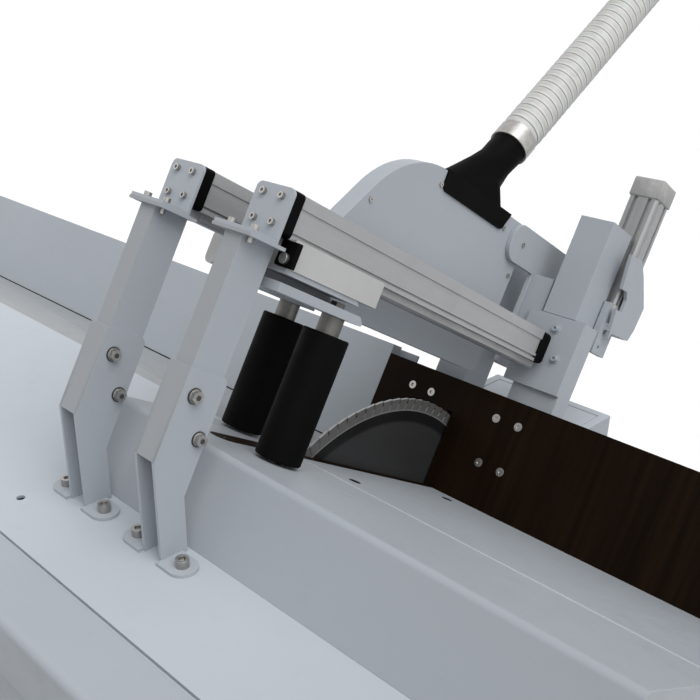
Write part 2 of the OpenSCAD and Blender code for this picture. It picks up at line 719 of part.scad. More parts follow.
// A column of folded sheet on the low deck, closed in front and open behind
module column(x, u1, top) intersection() {
    head() difference() {
        block(x, [column_u[0], u1], [-300, top]);
        block([x[0] + column_t, x[1] - column_t], [column_u[0] + column_t, u1 + 1], [-301, top - column_t]);
    }
    block([-machine_w, machine_w], [line_y, machine_d], [rear_deck_z, 3*deck_h]);
}

// Sole of a column on the low deck
module column_sole(x) {
    block([blade_off + x[0] - 3, blade_off + x[1] + 3], [rear_deck_y, rear_deck_y + sole_l], [rear_deck_z, rear_deck_z + 8]);
}

module left_column() color(grey) {
    column(left_column_x, column_u[1], left_column_top);
    column_sole([left_column_x[0] - 20, left_column_x[1]]);
    head() block([left_column_x[0] - 12, left_column_x[1] - 12], [bed_d + board_t, column_u[0]], pad_w);
}

module right_column() color(grey) {
    column(right_column_x, right_column_rear, right_column_top);
    column_sole(right_column_x);
    head() block([right_column_x[0] + 11, right_column_x[1] - 20], [bed_d + board_t, column_u[0]], [50, 170]);
    head() block(neck_x, [column_u[0] + 2, column_u[1]], [right_column_top - 1, neck_top]);
}

// Folded cover round the neck of the right column
module column_cover() color(grey) head() difference() {
    block(cover_x, cover_u, [cover_w[0] + 1, cover_w[1]]);
    block([cover_x[0] + cover_t, cover_x[1] - cover_t], [cover_u[0] + cover_t, cover_u[1] + 1],
          [cover_w[0], cover_w[1] - cover_t]);
    block([cover_x[0] - 1, cover_x[0] + cover_t + 1], [cover_u[0] + cover_t, cover_u[1] + 1],
          [cover_w[0], cover_w[0] + 106]);
}

// Floor and gusset that carry the lift cylinder
module lift_mount() color(alu) head() difference() {
    union() {
        block([neck_x[0], gusset_x[1]], [column_u[1], cyl_u + cyl_s/2 + 6], lift_floor);
        slab_x(gusset_x[0], gusset_x[1]) difference() {
            polygon([[column_u[1] + 4, lift_floor[0] - 14], [column_u[0] + 41, cyl_w[0] + 111],
                     [column_u[1] + 13, cyl_w[0] + 114], [column_u[1] + 40, cyl_w[0] + 94],
                     [column_u[1] + 85, cyl_w[0] + 52], [column_u[1] + 82, cyl_w[0] + 11],
                     [column_u[1] + 74, lift_floor[0] + 2], [column_u[1] + 10, lift_floor[0] - 2]]);
            polygon([[column_u[0] + 48, cyl_w[0] + 56], [column_u[0] + 74, cyl_w[0] + 57],
                     [column_u[0] + 84, cyl_w[0] + 45], [column_u[0] + 84, cyl_w[0] + 24],
                     [column_u[0] + 58, cyl_w[0] + 24]]);
        }
        block([cyl_x + cyl_s/2 - 3, gusset_x[0] + 1], [cyl_u - 12, cyl_u + 12], [cyl_w[0] + 50, cyl_w[0] + 74]);
        block(stop_x, stop_u, stop_w);
    }
    for (w = [stop_w[0] + 12, stop_w[0] + 36]) rod_x(6, [stop_x[1] - 5, stop_x[1] + 1], stop_u[0] + 16, w);
    translate([cyl_x, cyl_u, 0]) cylinder(d = rod_d + 14, h = cyl_w[1]);
    block([cyl_x - cyl_s/2 - 1, cyl_x + cyl_s/2], [cyl_u - cyl_s/2, cyl_u + cyl_s/2], [cyl_w[0], cyl_w[1]]);
}

// Square air cylinder: bored barrel with deep end caps
module square_cylinder(s, w, bore, cap, hole) difference() {
    union() {
        difference() {
            block([-s/2 + 4, s/2 - 4], [-s/2 + 4, s/2 - 4], w);
            for (a = [0:90:270]) rotate(a) block([-4, 4], [s/2 - 6, s], [w[0] + cap, w[1] - cap]);
        }
        slab_z(w[0], w[0] + cap) round_rect([-s/2, -s/2], [s/2, s/2], 4);
        slab_z(w[1] - cap, w[1]) round_rect([-s/2, -s/2], [s/2, s/2], 4);
    }
    rod_z(bore, [w[0] + 14, w[1] - 12]);
    rod_z(rod_d + 2*run_gap, hole);
}

module lift_cylinder() color(alu) head() translate([cyl_x, cyl_u, 0])
    square_cylinder(cyl_s, cyl_w, cyl_bore, cyl_cap, [cyl_w[0] - 1, cyl_w[0] + 20]);

module hood_rail() color(steel) head() difference() {
    block([hood_rail_x, right_column_x[0]], hood_rail_u, [60, right_column_top]);
    for (w = [90:60:320]) rod_x(6, [hood_rail_x - 1, hood_rail_x + 4], (hood_rail_u[0] + hood_rail_u[1])/2, w);
}

// Carriage that hangs under a beam and holds a roller
module carriage(i) translate([beam_x(i), roller_rest[i], 0]) {
    block([-cheek_x[1], cheek_x[1]], [carriage_from, carriage_to], carriage_w);
    for (s = [-1, 1]) slab_x(s*(cheek_x[0] + cheek_x[1])/2 - 2, s*(cheek_x[0] + cheek_x[1])/2 + 2)
        round_rect([carriage_from, carriage_w[0]], [carriage_to, cheek_top], 4);
    // Rounded stop plate and the end screw
    slab_y(carriage_from - end_t, carriage_from) round_rect([-36, stop_low], [-rail_w/2 - 1, stop_low + 44], 9);
    rod_y(12, [carriage_from - end_t - 4, carriage_from - end_t], 30, carriage_w[0] + 9);
}

module carriage_end(i) translate([beam_x(i), roller_rest[i], 0]) {
    block([rail_w/2 + 1, 43], [carriage_from - end_t, carriage_from], [carriage_w[0], beam_w[0] - 0.6]);
}

// Arm under the carriage: a channel open to the right, its tail cut off at an angle
module roller_arm(i) translate([beam_x(i), roller_rest[i], 0]) difference() {
    block(arm_x, [arm_from, arm_to], arm_w);
    block([arm_x[0] + arm_t, arm_x[1] + 1], [arm_from - 1, arm_to + 1], [arm_w[0] + arm_floor, arm_w[1] - arm_t]);
    translate([0, 0, arm_w[0] - 1]) rod_z(stud_d + seat_gap, [0, arm_floor + 2]);
    translate([arm_x[0] - 1, arm_to, arm_w[0] + 4]) rotate([45, 0, 0]) cube([80, 40, 40]);
}

module roller_shaft(i) translate([beam_x(i), roller_rest[i], 0]) {
    rod_z(roller_shaft_d, [roller_z + roller_wall + seat_gap, arm_w[0]]);
    rod_z(stud_d, [arm_w[0] - 1, arm_w[0] + arm_floor + 2]);
    translate([0, 0, arm_w[0] + arm_floor]) cylinder(d = 19, h = 7, $fn = 6);
}

// Rubber roller with chamfered ends
module roller(i) translate([beam_x(i), roller_rest[i], roller_z]) difference() {
    rotate_extrude() polygon([[0, 0], [roller_d/2 - 1.5, 0], [roller_d/2, 1.5],
        [roller_d/2, roller_l - 1.5], [roller_d/2 - 1.5, roller_l], [0, roller_l]]);
    rod_z(roller_shaft_d + 2*run_gap, [roller_wall, roller_l + 1]);
}

module left_carriage() color(alu) head() carriage(0);
module right_carriage() color(alu) head() carriage(1);
module left_carriage_end() color(black) head() carriage_end(0);
module right_carriage_end() color(black) head() carriage_end(1);
module left_roller_arm() color(dark) head() roller_arm(0);
module right_roller_arm() color(dark) head() roller_arm(1);
module left_roller_shaft() color(steel) head() roller_shaft(0);
module right_roller_shaft() color(steel) head() roller_shaft(1);
module left_roller() color(black) head() roller(0);
module right_roller() color(black) head() roller(1);

// Outline of the hood, drawn in by an inset on its closed edges
function hood_outline(inset, low, rear) =
    let (r = hood_r - inset, a = hood_slant, s = (low - hood_arc[1] - r*cos(a))/sin(a))
    concat([hood_arc + r*[-sin(a), cos(a)] + s*[cos(a), sin(a)]], arc(hood_arc, r, 90 + a, 90),
           [[rear, hood_top - inset], [rear, low]]);

// Blade hood: thin sheet box, open below and behind
module hood_shell() color(grey) head() difference() {
    slab_x(-hood_w/2, hood_w/2) polygon(hood_outline(0, hood_z, hood_rear));
    slab_x(-hood_w/2 + hood_t, hood_w/2 - hood_t) polygon(hood_outline(hood_t, hood_z - 20, hood_rear + 20));
    block([-hood_w/2 + hood_t, hood_w/2 - hood_t], hood_port, [hood_top - 10, hood_top + 10]);
}

module hood_arm() color(grey) head() slab_x(plate_x0, plate_x0 + plate_t) {
    round_rect([arm_plate_u[0], arm_plate_notch[1]], [arm_plate_u[1], arm_plate_w[1]], 26);
    translate([arm_plate_u[1] - 40, arm_plate_notch[1]]) square([40, arm_plate_w[1] - arm_plate_notch[1]]);
    round_rect([arm_plate_notch[0], arm_plate_w[0]], [arm_plate_u[1], arm_plate_w[1]], 6);
}

// Button screws of the hood: offset from its side, and place in u and w
module hood_screws() color(steel) head()
    for (p = [[0, -33, 356], [0, 94, 426], [0, 280, 426], [0, 341, 366], [plate_t, 338, 419]])
        translate([hood_w/2 + p[0], p[1], p[2]]) rotate([0, 90, 0]) difference() {
            cylinder(d = 7.5, h = 2);
            translate([0, 0, 0.8]) cylinder(d = 3.6, h = 2, $fn = 6);
        }

// Runner of the hood on its rail
module hood_slider() color(grey) head() difference() {
    block([plate_x0 + plate_t, right_column_x[0] - 2], slider_u, slider_w);
    block([hood_rail_x - seat_gap, right_column_x[0]],
          [hood_rail_u[0] - seat_gap, hood_rail_u[1] + seat_gap], [slider_w[0] - 1, slider_w[1] + 1]);
}

// Piston rod with the cross bar that pushes the hood
module lift_rod() color(steel) head() {
    block([plate_x0 + plate_t, cyl_x + rod_d/2 + 3], bar_u, [bar_w[0], bar_w[1]]);
    translate([cyl_x, cyl_u, 0]) {
        rod_z(rod_d, [bar_w[1] - 1, cyl_w[1] - 16]);
        rod_z(cyl_bore - 2*run_gap, [cyl_w[1] - 16 - piston_l, cyl_w[1] - 16]);
    }
}

// Foot of the nozzle on the hood, and the slices above it
module nozzle_foot(inset) hull() for (u = nozzle_foot_u)
    translate([0, u, hood_top + 1]) cylinder(r = nozzle_foot_r - inset, h = 2, $fn = 32);
module nozzle_slice(k, inset, h = 2) {
    s = nozzle_slices[k];
    translate([0, s[0], s[1]]) rotate([-s[2], 0, 0]) translate([0, 0, -2])
        scale([(s[3] - inset)/50, (s[4] - inset)/50, 1]) cylinder(d = 100, h = h, $fn = 32);
}

module suction_nozzle() color(black) head() {
    difference() {
        union() {
            hull() { nozzle_foot(0); nozzle_slice(0, 0); }
            for (k = [0, 1]) hull() { nozzle_slice(k, 0); nozzle_slice(k + 1, 0); }
        }
        hull() { translate([0, 0, -3]) nozzle_foot(nozzle_t); nozzle_slice(0, nozzle_t); }
        hull() { nozzle_slice(0, nozzle_t); nozzle_slice(1, nozzle_t); }
        hull() { nozzle_slice(1, nozzle_t); nozzle_slice(2, nozzle_t, 4); }
    }
    difference() {
        slab_x(-hood_w/2 - nozzle_t, hood_w/2 + nozzle_t) intersection() {
            offset(skirt_r) polygon([[skirt_foot_u[0], skirt_w + skirt_r], [skirt_foot_u[1], skirt_w + skirt_r],
                                     [skirt_head_u[1], hood_top + 2], [skirt_head_u[0], hood_top + 2]]);
            translate([0, skirt_w - 1]) square([2*skirt_foot_u[1], hood_top + 3 - skirt_w]);
        }
        block([-hood_w/2, hood_w/2], [skirt_foot_u[0] - 20, skirt_foot_u[1] + 40], [skirt_w - 20, hood_top]);
        block([-hood_w/2 + hood_t, hood_w/2 - hood_t], hood_port, [hood_top - 10, hood_top + 10]);
    }
}

// Frame of the neck: z along the hose
module neck_frame() { head() translate([0, neck_c[0], neck_c[1]]) rotate([-neck_tilt, 0, 0]) children(); }

module suction_spigot() color(steel) neck_frame() difference() {
    union() {
        cylinder(d = hose_bore*cos(180/hose_sides) - seat_gap, h = spigot_l);
        cylinder(d = hose_d, h = collar_l);
    }
    translate([0, 0, -1]) cylinder(d = hose_bore - 10, h = spigot_l + 2);
}

// Hose axis: straight out of the neck, one easy bend, then straight up
hose_from = level(neck_c + collar_l*[sin(neck_tilt), cos(neck_tilt)]);
hose_dir = level([sin(neck_tilt), cos(neck_tilt)]);
hose_knee = hose_from + hose_run*hose_dir;
hose_rise = [hose_end[0], hose_bend[1] + 60];
function bezier(t) = pow(1 - t, 3)*hose_knee + 3*pow(1 - t, 2)*t*(hose_knee + 90*hose_dir)
    + 3*(1 - t)*t*t*(hose_rise - [0, 90]) + pow(t, 3)*hose_rise;
hose_a = floor(hose_run/rib_pitch*2);
hose_b = 22;
hose_c = floor((hose_end[1] - hose_rise[1])/rib_pitch*2);
hose_path = concat([for (k = [0:hose_a - 1]) hose_from + k/hose_a*hose_run*hose_dir],
                   [for (k = [0:hose_b - 1]) bezier(k/hose_b)],
                   [for (k = [0:hose_c]) hose_rise + k/hose_c*(hose_end - hose_rise)]);
hose_n = len(hose_path) - 1;
function hose_way(k) = k == 0 ? hose_dir : k == hose_n ? [0, 1]
    : (hose_path[k + 1] - hose_path[k - 1])/norm(hose_path[k + 1] - hose_path[k - 1]);
function hose_ring(k, r) = [for (j = [0:hose_sides - 1]) let (a = 360*j/hose_sides, d = hose_way(k))
    [r*cos(a), hose_path[k][0] - r*sin(a)*d[1], hose_path[k][1] + r*sin(a)*d[0]]];
function rib_r(k) = hose_d/2 - (k % 2 == 0 && k > 0 && k < hose_n ? 0 : rib_h);

module suction_hose() color([0.86, 0.86, 0.84]) on_deck() {
    s = hose_sides;
    outer = [for (k = [0:hose_n]) each hose_ring(k, rib_r(k))];
    inner = [for (k = [0:hose_n]) each hose_ring(k, hose_bore/2)];
    m = (hose_n + 1)*s;
    faces = concat(
        [for (k = [0:hose_n - 1], j = [0:s - 1], f = [0, 1]) let (p = k*s + j, q = k*s + (j + 1) % s)
            f == 0 ? [p, q, q + s] : [p, q + s, p + s]],
        [for (k = [0:hose_n - 1], j = [0:s - 1], f = [0, 1]) let (p = m + k*s + j, q = m + k*s + (j + 1) % s)
            f == 0 ? [p, q + s, q] : [p, p + s, q + s]],
        [for (j = [0:s - 1], f = [0, 1]) let (q = (j + 1) % s)
            f == 0 ? [j, m + j, m + q] : [j, m + q, q]],
        [for (j = [0:s - 1], f = [0, 1]) let (e = hose_n*s, q = (j + 1) % s)
            f == 0 ? [e + j, m + e + q, m + e + j] : [e + j, e + q, m + e + q]]);
    polyhedron(points = concat(outer, inner), faces = faces, convexity = 10);
}

module hose_coupling() color(steel) on_deck() translate([0, hose_end[0], hose_end[1]]) difference() {
    union() {
        cylinder(d = hose_d - 2*rib_h, h = 60);
        cylinder(d = hose_d + 6, h = 22);
    }
    translate([0, 0, -1]) cylinder(d = hose_d - 2*rib_h - 8, h = 62);
}

// Rails of the saw unit on the inclined uprights
module saw_guides() color(steel) head() for (u = guide_u) difference() {
    block([guide_x[1], guide_rail_x], [u - guide_rail_b/2, u + guide_rail_b/2], guide_rail_w);
    for (w = [guide_rail_w[0] + 20:60:guide_rail_w[1]]) rod_x(7, [guide_rail_x - 8, guide_rail_x + 1], u, w);
}

// Saw plate with its four trucks, the pulley side bracket and the stroke lug
module saw_plate() color(dark) head() {
    difference() {
        union() {
            slab_x(saw_plate_x[0], saw_plate_x[1]) polygon([
                [saw_plate_u[0], saw_plate_w[1]], [saw_plate_u[1], saw_plate_w[1]],
                [saw_plate_u[1], truck_w[0] - truck_l], [motor_u + 110, saw_plate_w[0]],
                [motor_u - 95, saw_plate_w[0]], [motor_u - 95, motor_w + 90], [saw_plate_u[0], motor_w + 120]]);
            for (u = guide_u, w = truck_w)
                block([guide_x[1] + 2, saw_plate_x[0]], [u - 23, u + 23], [w - truck_l/2, w + truck_l/2]);
            block([stroke_x - 12, saw_plate_x[0]], [stroke_u - 20, stroke_u + 20], lug_w);
        }
        for (u = guide_u) block([guide_x[1], guide_rail_x + seat_gap],
            [u - guide_rail_b/2 - seat_gap, u + guide_rail_b/2 + seat_gap], [saw_plate_w[0], saw_plate_w[1]]);
        rod_x(arbor_d + 10, [saw_plate_x[0] - 1, saw_plate_x[1] + 1], arbor_u, arbor_w);
    }
    for (u = [-85, 85], w = [-85, 85])
        rod_x(20, [saw_plate_x[1], motor_plate_x[0]], motor_u + u, motor_w + w);
    difference() {
        block(motor_plate_x, [motor_u - 100, motor_u + 100], [motor_w - 100, motor_w + 100]);
        rod_x(60, [motor_plate_x[0] - 1, motor_plate_x[1] + 1], motor_u, motor_w);
    }
}

module arbor_housing() color(grey) head() difference() {
    rod_x(housing_d, housing_x, arbor_u, arbor_w);
    rod_x(arbor_d + 2*run_gap, [housing_x[0] - 1, housing_x[1] + 1], arbor_u, arbor_w);
}

// Blade whose teeth stand close behind each other, with a narrow slanted gullet before each
module saw_blade() color(steel) head() translate([0, arbor_u, arbor_w]) rotate([0, 90, 0]) difference() {
    translate([0, 0, -blade_t/2]) linear_extrude(blade_t) polygon([for (k = [0:teeth - 1], p = [0:3])
        let (a = 360/teeth*(k + tooth_turn[p]), r = blade_r - tooth_drop[p]) [r*cos(a), r*sin(a)]]);
    cylinder(d = arbor_d - 5 + seat_gap, h = 2*blade_t, center = true);
}

// Arbor with blade flanges, nut and pulley
module arbor_shaft() color(steel) head() {
    rod_x(arbor_d, [blade_t/2 + flange_t - 1, pulley_x[1] + 4], arbor_u, arbor_w);
    rod_x(arbor_d - 5, [-blade_t/2 - flange_t - 26, blade_t/2 + flange_t], arbor_u, arbor_w);
    for (s = [-1, 1]) rod_x(flange_d, s < 0 ? [-blade_t/2 - flange_t, -blade_t/2] : [blade_t/2, blade_t/2 + flange_t],
                            arbor_u, arbor_w);
    translate([-blade_t/2 - flange_t - 22, arbor_u, arbor_w]) rotate([0, 90, 0]) cylinder(d = 52, h = 22, $fn = 6);
    pulley(arbor_u, arbor_w);
}

module pulley(u, w) {
    rod_x(pulley_d, pulley_x, u, w);
    for (x = [pulley_x[0], pulley_x[1] - 3]) rod_x(pulley_d + 14, [x, x + 3], u, w);
}

module motor() color(grey) head() translate([0, motor_u, motor_w]) difference() {
    x = [motor_plate_x[1], motor_plate_x[1] + motor_l];
    union() {
        rod_x(motor_d, [x[0], x[0] + 12]);
        rod_x(motor_d - 24, [x[0], x[1] - 30]);
        for (a = [0:15:345]) rotate([a, 0, 0]) block([x[0] + 20, x[1] - 36], [-1.5, 1.5], [motor_d/2 - 20, motor_d/2 - 6]);
        rod_x(motor_d - 4, [x[1] - 36, x[1]]);
        block([x[0] + 40, x[0] + 110], [-50, 50], [60, motor_d/2 + 24]);
    }
    rod_x(motor_shaft_d + 2*run_gap, [x[0] - 1, x[0] + 60]);
}

module motor_shaft() color(steel) head() {
    rod_x(motor_shaft_d, [pulley_x[0] + 1, motor_plate_x[1] + 50], motor_u, motor_w);
    pulley(motor_u, motor_w);
}

// Flat belt round the two equal pulleys
module drive_belt() color(black) head() {
    run = norm([arbor_u - motor_u, arbor_w - motor_w]);
    turn = atan2(arbor_w - motor_w, arbor_u - motor_u);
    slab_x(pulley_x[0] + 5, pulley_x[1] - 5) translate([motor_u, motor_w]) rotate(turn) difference() {
        belt_loop(run, pulley_d/2 + seat_gap + belt_t);
        belt_loop(run, pulley_d/2 + seat_gap);
    }
}

module belt_loop(run, r) {
    circle(r, $fn = 64);
    translate([run, 0]) circle(r, $fn = 64);
    translate([0, -r]) square([run, 2*r]);
}

module stroke_cylinder() color(alu) head() translate([stroke_x, stroke_u, 0])
    square_cylinder(stroke_s, stroke_w, stroke_bore, stroke_cap, [stroke_w[1] - 20, stroke_w[1] + 1]);

module stroke_rod() color(steel) head() translate([stroke_x, stroke_u, 0]) {
    rod_z(rod_d, [stroke_w[1] - 40, lug_w[0]]);
    rod_z(stroke_bore - 2*run_gap, [stroke_w[1] - 40, stroke_w[1] - 28]);
}

base_frame();
levelling_feet();
side_panels();
rear_panel();
rear_deck();
cabinet_door();
door_latch();
infeed_stand();
deck_sheet();
front_apron();
wedge_table();
saw_bed();
kerf_insert();
table_screws();
infeed_fence();
fence_board();
fence_screws();
post_forks();
post_channels();
post_bolts();
beam_brackets();
bracket_screws();
roller_beams();
beam_caps();
beam_shelves();
left_column();
right_column();
column_cover();
lift_mount();
lift_cylinder();
hood_rail();
left_carriage();
left_carriage_end();
left_roller_arm();
left_roller_shaft();
left_roller();
right_carriage();
right_carriage_end();
right_roller_arm();
right_roller_shaft();
right_roller();
hood_shell();
hood_arm();
hood_screws();
hood_slider();
lift_rod();
suction_nozzle();
suction_spigot();
suction_hose();
hose_coupling();
saw_guides();
saw_plate();
arbor_housing();
saw_blade();
arbor_shaft();
motor();
motor_shaft();
drive_belt();
stroke_cylinder();
stroke_rod();
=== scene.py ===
"""Visual model of an optimizing crosscut saw, made over its CAD frame."""
import json
import math

import bmesh
import bpy
from bpy.props import FloatProperty, FloatVectorProperty, IntProperty, PointerProperty
from mathutils import Matrix, Vector


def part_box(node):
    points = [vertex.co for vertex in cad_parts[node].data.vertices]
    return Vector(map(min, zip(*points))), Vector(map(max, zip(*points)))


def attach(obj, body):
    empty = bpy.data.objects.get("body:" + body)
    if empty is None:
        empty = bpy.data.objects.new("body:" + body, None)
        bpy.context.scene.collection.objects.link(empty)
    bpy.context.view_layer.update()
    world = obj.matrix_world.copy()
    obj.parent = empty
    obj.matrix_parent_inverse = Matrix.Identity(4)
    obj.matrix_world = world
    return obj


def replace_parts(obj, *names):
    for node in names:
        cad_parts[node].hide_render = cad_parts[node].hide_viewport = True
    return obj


bl_info = {
    "name": "Optimizing crosscut saw",
    "version": (1, 0, 0),
    "blender": (4, 5, 0),
    "location": "3D View > Sidebar > Crosscut saw",
    "description": "Sheet metal, board, rollers, hood, hose and blade of a crosscut saw",
    "category": "Object",
}

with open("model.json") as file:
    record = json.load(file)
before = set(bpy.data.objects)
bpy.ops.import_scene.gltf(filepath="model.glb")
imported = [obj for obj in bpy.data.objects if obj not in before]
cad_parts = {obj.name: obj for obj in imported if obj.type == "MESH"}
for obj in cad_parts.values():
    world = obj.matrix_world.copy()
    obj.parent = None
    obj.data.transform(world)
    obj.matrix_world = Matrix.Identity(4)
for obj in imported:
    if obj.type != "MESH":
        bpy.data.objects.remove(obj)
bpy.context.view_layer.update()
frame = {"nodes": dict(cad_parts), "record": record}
NODES = frame["nodes"]
BODY_OF_NODE = {node: body for body, nodes in frame["record"]["behaviour"]["bodies"].items()
                for node in nodes}

# The head of the saw leans back by this angle about the feed axis
LEAN = math.radians(30)
HEAD_ORIGIN = Vector((0.520, -0.155, 0.900))
ALONG_U = Vector((0, math.cos(LEAN), -math.sin(LEAN)))
ALONG_W = Vector((0, math.sin(LEAN), math.cos(LEAN)))
UPWARD = Vector((0, 0, 1))
BLADE_CENTRE = (0.0, 0.290, -0.170)
BLADE_RADIUS = 0.300


def head(x, u, w):
    """A point of the leaning head, given in metres from the blade line, in the row frame."""
    return HEAD_ORIGIN + Vector((x, 0, 0)) + u * ALONG_U + w * ALONG_W


HEAD_MATRIX = Matrix((
    (1, 0, 0, HEAD_ORIGIN.x),
    (0, ALONG_U.y, ALONG_W.y, HEAD_ORIGIN.y),
    (0, ALONG_U.z, ALONG_W.z, HEAD_ORIGIN.z),
    (0, 0, 0, 1),
))


# Settings that a user would change

def colour_setting(name, description, value):
    return FloatVectorProperty(name=name, description=description, default=value,
                               subtype="COLOR", size=3, min=0, max=1)


def length_setting(name, description, value, least, most):
    return FloatProperty(name=name, description=description, default=value,
                         unit="LENGTH", min=least, max=most)


class SawFinish(bpy.types.PropertyGroup):
    """Colours of the saw."""
    powder: colour_setting("Powder coat", "Light blue-grey of the sheet metal",
                           (0.408, 0.436, 0.470))
    aluminium: colour_setting("Aluminium", "Satin aluminium of beams and cylinders",
                              (0.37, 0.37, 0.374))
    board: colour_setting("Fence board", "Film-faced board of the fence",
                          (0.0085, 0.0042, 0.0020))
    rubber: colour_setting("Rubber", "Roller covering", (0.0016, 0.0016, 0.0016))
    hose: colour_setting("Hose", "Wall of the suction hose", (0.60, 0.60, 0.58))
    steel: colour_setting("Steel", "Zinc-plated screws and shafts", (0.40, 0.39, 0.375))


class SawSizes(bpy.types.PropertyGroup):
    """Sizes of the details."""
    edge: length_setting("Sheet edge", "Rounding of sheet-metal edges", 0.0008, 0.0001, 0.003)
    casting_edge: length_setting("Casting edge", "Rounding of moulded and cast edges",
                                 0.0015, 0.0002, 0.004)
    hose_diameter: length_setting("Hose diameter", "Outside diameter over the ribs",
                                  0.064, 0.05, 0.08)
    rib_pitch: length_setting("Rib pitch", "Distance between two turns of the hose's wire",
                              0.014, 0.008, 0.04)
    teeth: IntProperty(name="Teeth", description="Teeth of the saw blade",
                       default=96, min=24, max=120)
    louvres: IntProperty(name="Louvres", description="Slots in each field of the cabinet door",
                         default=9, min=3, max=14)


def tint(name):
    """A colour of the settings."""
    return tuple(getattr(bpy.context.scene.saw_finish, name))


def sizes():
    return bpy.context.scene.saw_sizes


# Shader trees

# Sockets of a mix node that mixes colours
MIX_FACTOR, MIX_FIRST, MIX_SECOND, MIX_RESULT = 0, 6, 7, 2
OFF, ON = (0, 0, 0), (1, 1, 1)

MADE = {}


class Shader:
    """A material with one Principled surface, and short calls that add nodes to it."""

    def __init__(self, name):
        self.material = bpy.data.materials.new(name)
        self.material.use_nodes = True
        self.tree = self.material.node_tree
        self.tree.nodes.clear()
        out = self.tree.nodes.new("ShaderNodeOutputMaterial")
        self.surface = self.tree.nodes.new("ShaderNodeBsdfPrincipled")
        self.tree.links.new(self.surface.outputs[0], out.inputs[0])
        self.bumps = None

    def feed(self, value, socket):
        """Puts a number, a colour or a vector on a socket, or links another socket to it."""
        if isinstance(value, (int, float)):
            socket.default_value = value
        elif isinstance(value, tuple):
            socket.default_value = (*value, 1)[:len(socket.default_value)]
        else:
            self.tree.links.new(value, socket)

    def add(self, kind, inputs=None, **settings):
        """A new node with its settings and with what its inputs are fed."""
        made = self.tree.nodes.new(kind)
        for key, value in settings.items():
            setattr(made, key, value)
        for key, value in (inputs or {}).items():
            self.feed(value, made.inputs[key])
        return made

    def place(self, turn=(0, 0, 0), scale=(1, 1, 1)):
        """Object coordinates, turned into a part's own axes and then scaled."""
        coords = self.add("ShaderNodeTexCoord")
        return self.add("ShaderNodeMapping", {
            "Rotation": turn, "Scale": tuple(1 / v for v in scale),
            "Vector": coords.outputs["Object"]}, vector_type="TEXTURE").outputs["Vector"]

    def noise(self, vector, scale, detail=2.0, rough=0.5):
        return self.add("ShaderNodeTexNoise", {
            "Scale": scale, "Detail": detail, "Roughness": rough,
            "Vector": vector}).outputs["Fac"]

    def ramp(self, value, stops):
        """Colours at places along a value."""
        made = self.add("ShaderNodeValToRGB", {"Fac": value})
        while len(made.color_ramp.elements) < len(stops):
            made.color_ramp.elements.new(0.5)
        for element, (place, colour) in zip(made.color_ramp.elements, stops):
            element.position = place
            element.color = (*colour, 1)
        return made.outputs["Color"]

    def mask(self, value, *places):
        """White where a value is past the first two places, and black again past two more."""
        return self.ramp(value, list(zip(places, (OFF, ON, ON, OFF))))

    def spread(self, value, low, high, start=0.3, end=0.7):
        """Goes from low to high as a value goes from start to end."""
        return self.add("ShaderNodeMapRange", {
            "From Min": start, "From Max": end, "To Min": low, "To Max": high,
            "Value": value}).outputs["Result"]

    def maths(self, operation, first, second=0.0):
        return self.add("ShaderNodeMath", {0: first, 1: second}, operation=operation).outputs[0]

    def mix(self, factor, first, second):
        return self.add("ShaderNodeMix", {
            MIX_FACTOR: factor, MIX_FIRST: first, MIX_SECOND: second},
            data_type="RGBA", blend_type="MIX").outputs[MIX_RESULT]

    def tones(self, value, first, second, start=0.3, end=0.7, most=1):
        """Mixes up to a share of a second colour in as a value goes from start to end."""
        return self.mix(self.spread(value, 0, most, start, end), first, second)

    def bump(self, height, distance, strength):
        """Relief on top of what earlier calls have given."""
        made = self.add("ShaderNodeBump", {
            "Distance": distance, "Strength": strength, "Height": height})
        if self.bumps is not None:
            self.feed(self.bumps, made.inputs["Normal"])
        self.bumps = made.outputs["Normal"]

    def finish(self, base, rough, **plain):
        """Gives the surface its colour, roughness, relief and plain values such as Metallic."""
        values = {"Base Color": base, "Roughness": rough, "Normal": self.bumps}
        values.update((key.replace("_", " "), value) for key, value in plain.items())
        for key, value in values.items():
            self.feed(value, self.surface.inputs[key])


def named_material(build):
    """Lets a function that fills a shader be called with a material's name instead.

    A name is filled once, and later calls give the same material back."""
    def found(name, *values, **options):
        if name not in MADE:
            shader = Shader(name)
            build(shader, *values, **options)
            MADE[name] = shader.material
        return MADE[name]
    return found


def shade(colour, amount):
    return tuple(max(0.0, min(1.0, c * amount)) for c in colour)


@named_material
def powder_coat(s, colour, gloss=0.42):
    """Powder coat: fine orange peel, slow drift in tone and faint patches of dust."""
    near = s.place()
    drift = s.noise(near, 2.3, 3)
    dust = s.noise(near, 38, 4, 0.65)
    base = s.tones(drift, shade(colour, 0.955), shade(colour, 1.03))
    base = s.tones(dust, base, shade(colour, 0.80), 0.56, 0.78, 0.16)
    s.bump(s.noise(near, 620, 1.5), 0.00003, 0.55)
    s.finish(base, s.spread(dust, gloss - 0.05, gloss + 0.12, 0.3, 0.75), Specular_IOR_Level=0.10)


@named_material
def brushed_metal(s, colour, metal, rough, along, turn=0.0, depth=0.000012):
    """Satin or ground metal: long fine lines along one axis, and soft patches in the gloss."""
    lines = s.noise(s.place((turn, 0, 0), along), 14, 3, 0.6)
    patch = s.noise(s.place(), 17, 3, 0.6)
    base = s.tones(lines, shade(colour, 0.96), shade(colour, 1.03))
    base = s.tones(patch, base, shade(colour, 0.82), 0.55, 0.8, 0.20)
    s.bump(lines, depth, 0.5)
    s.finish(base, s.spread(patch, rough - 0.07, rough + 0.12, 0.3, 0.75), Metallic=metal)


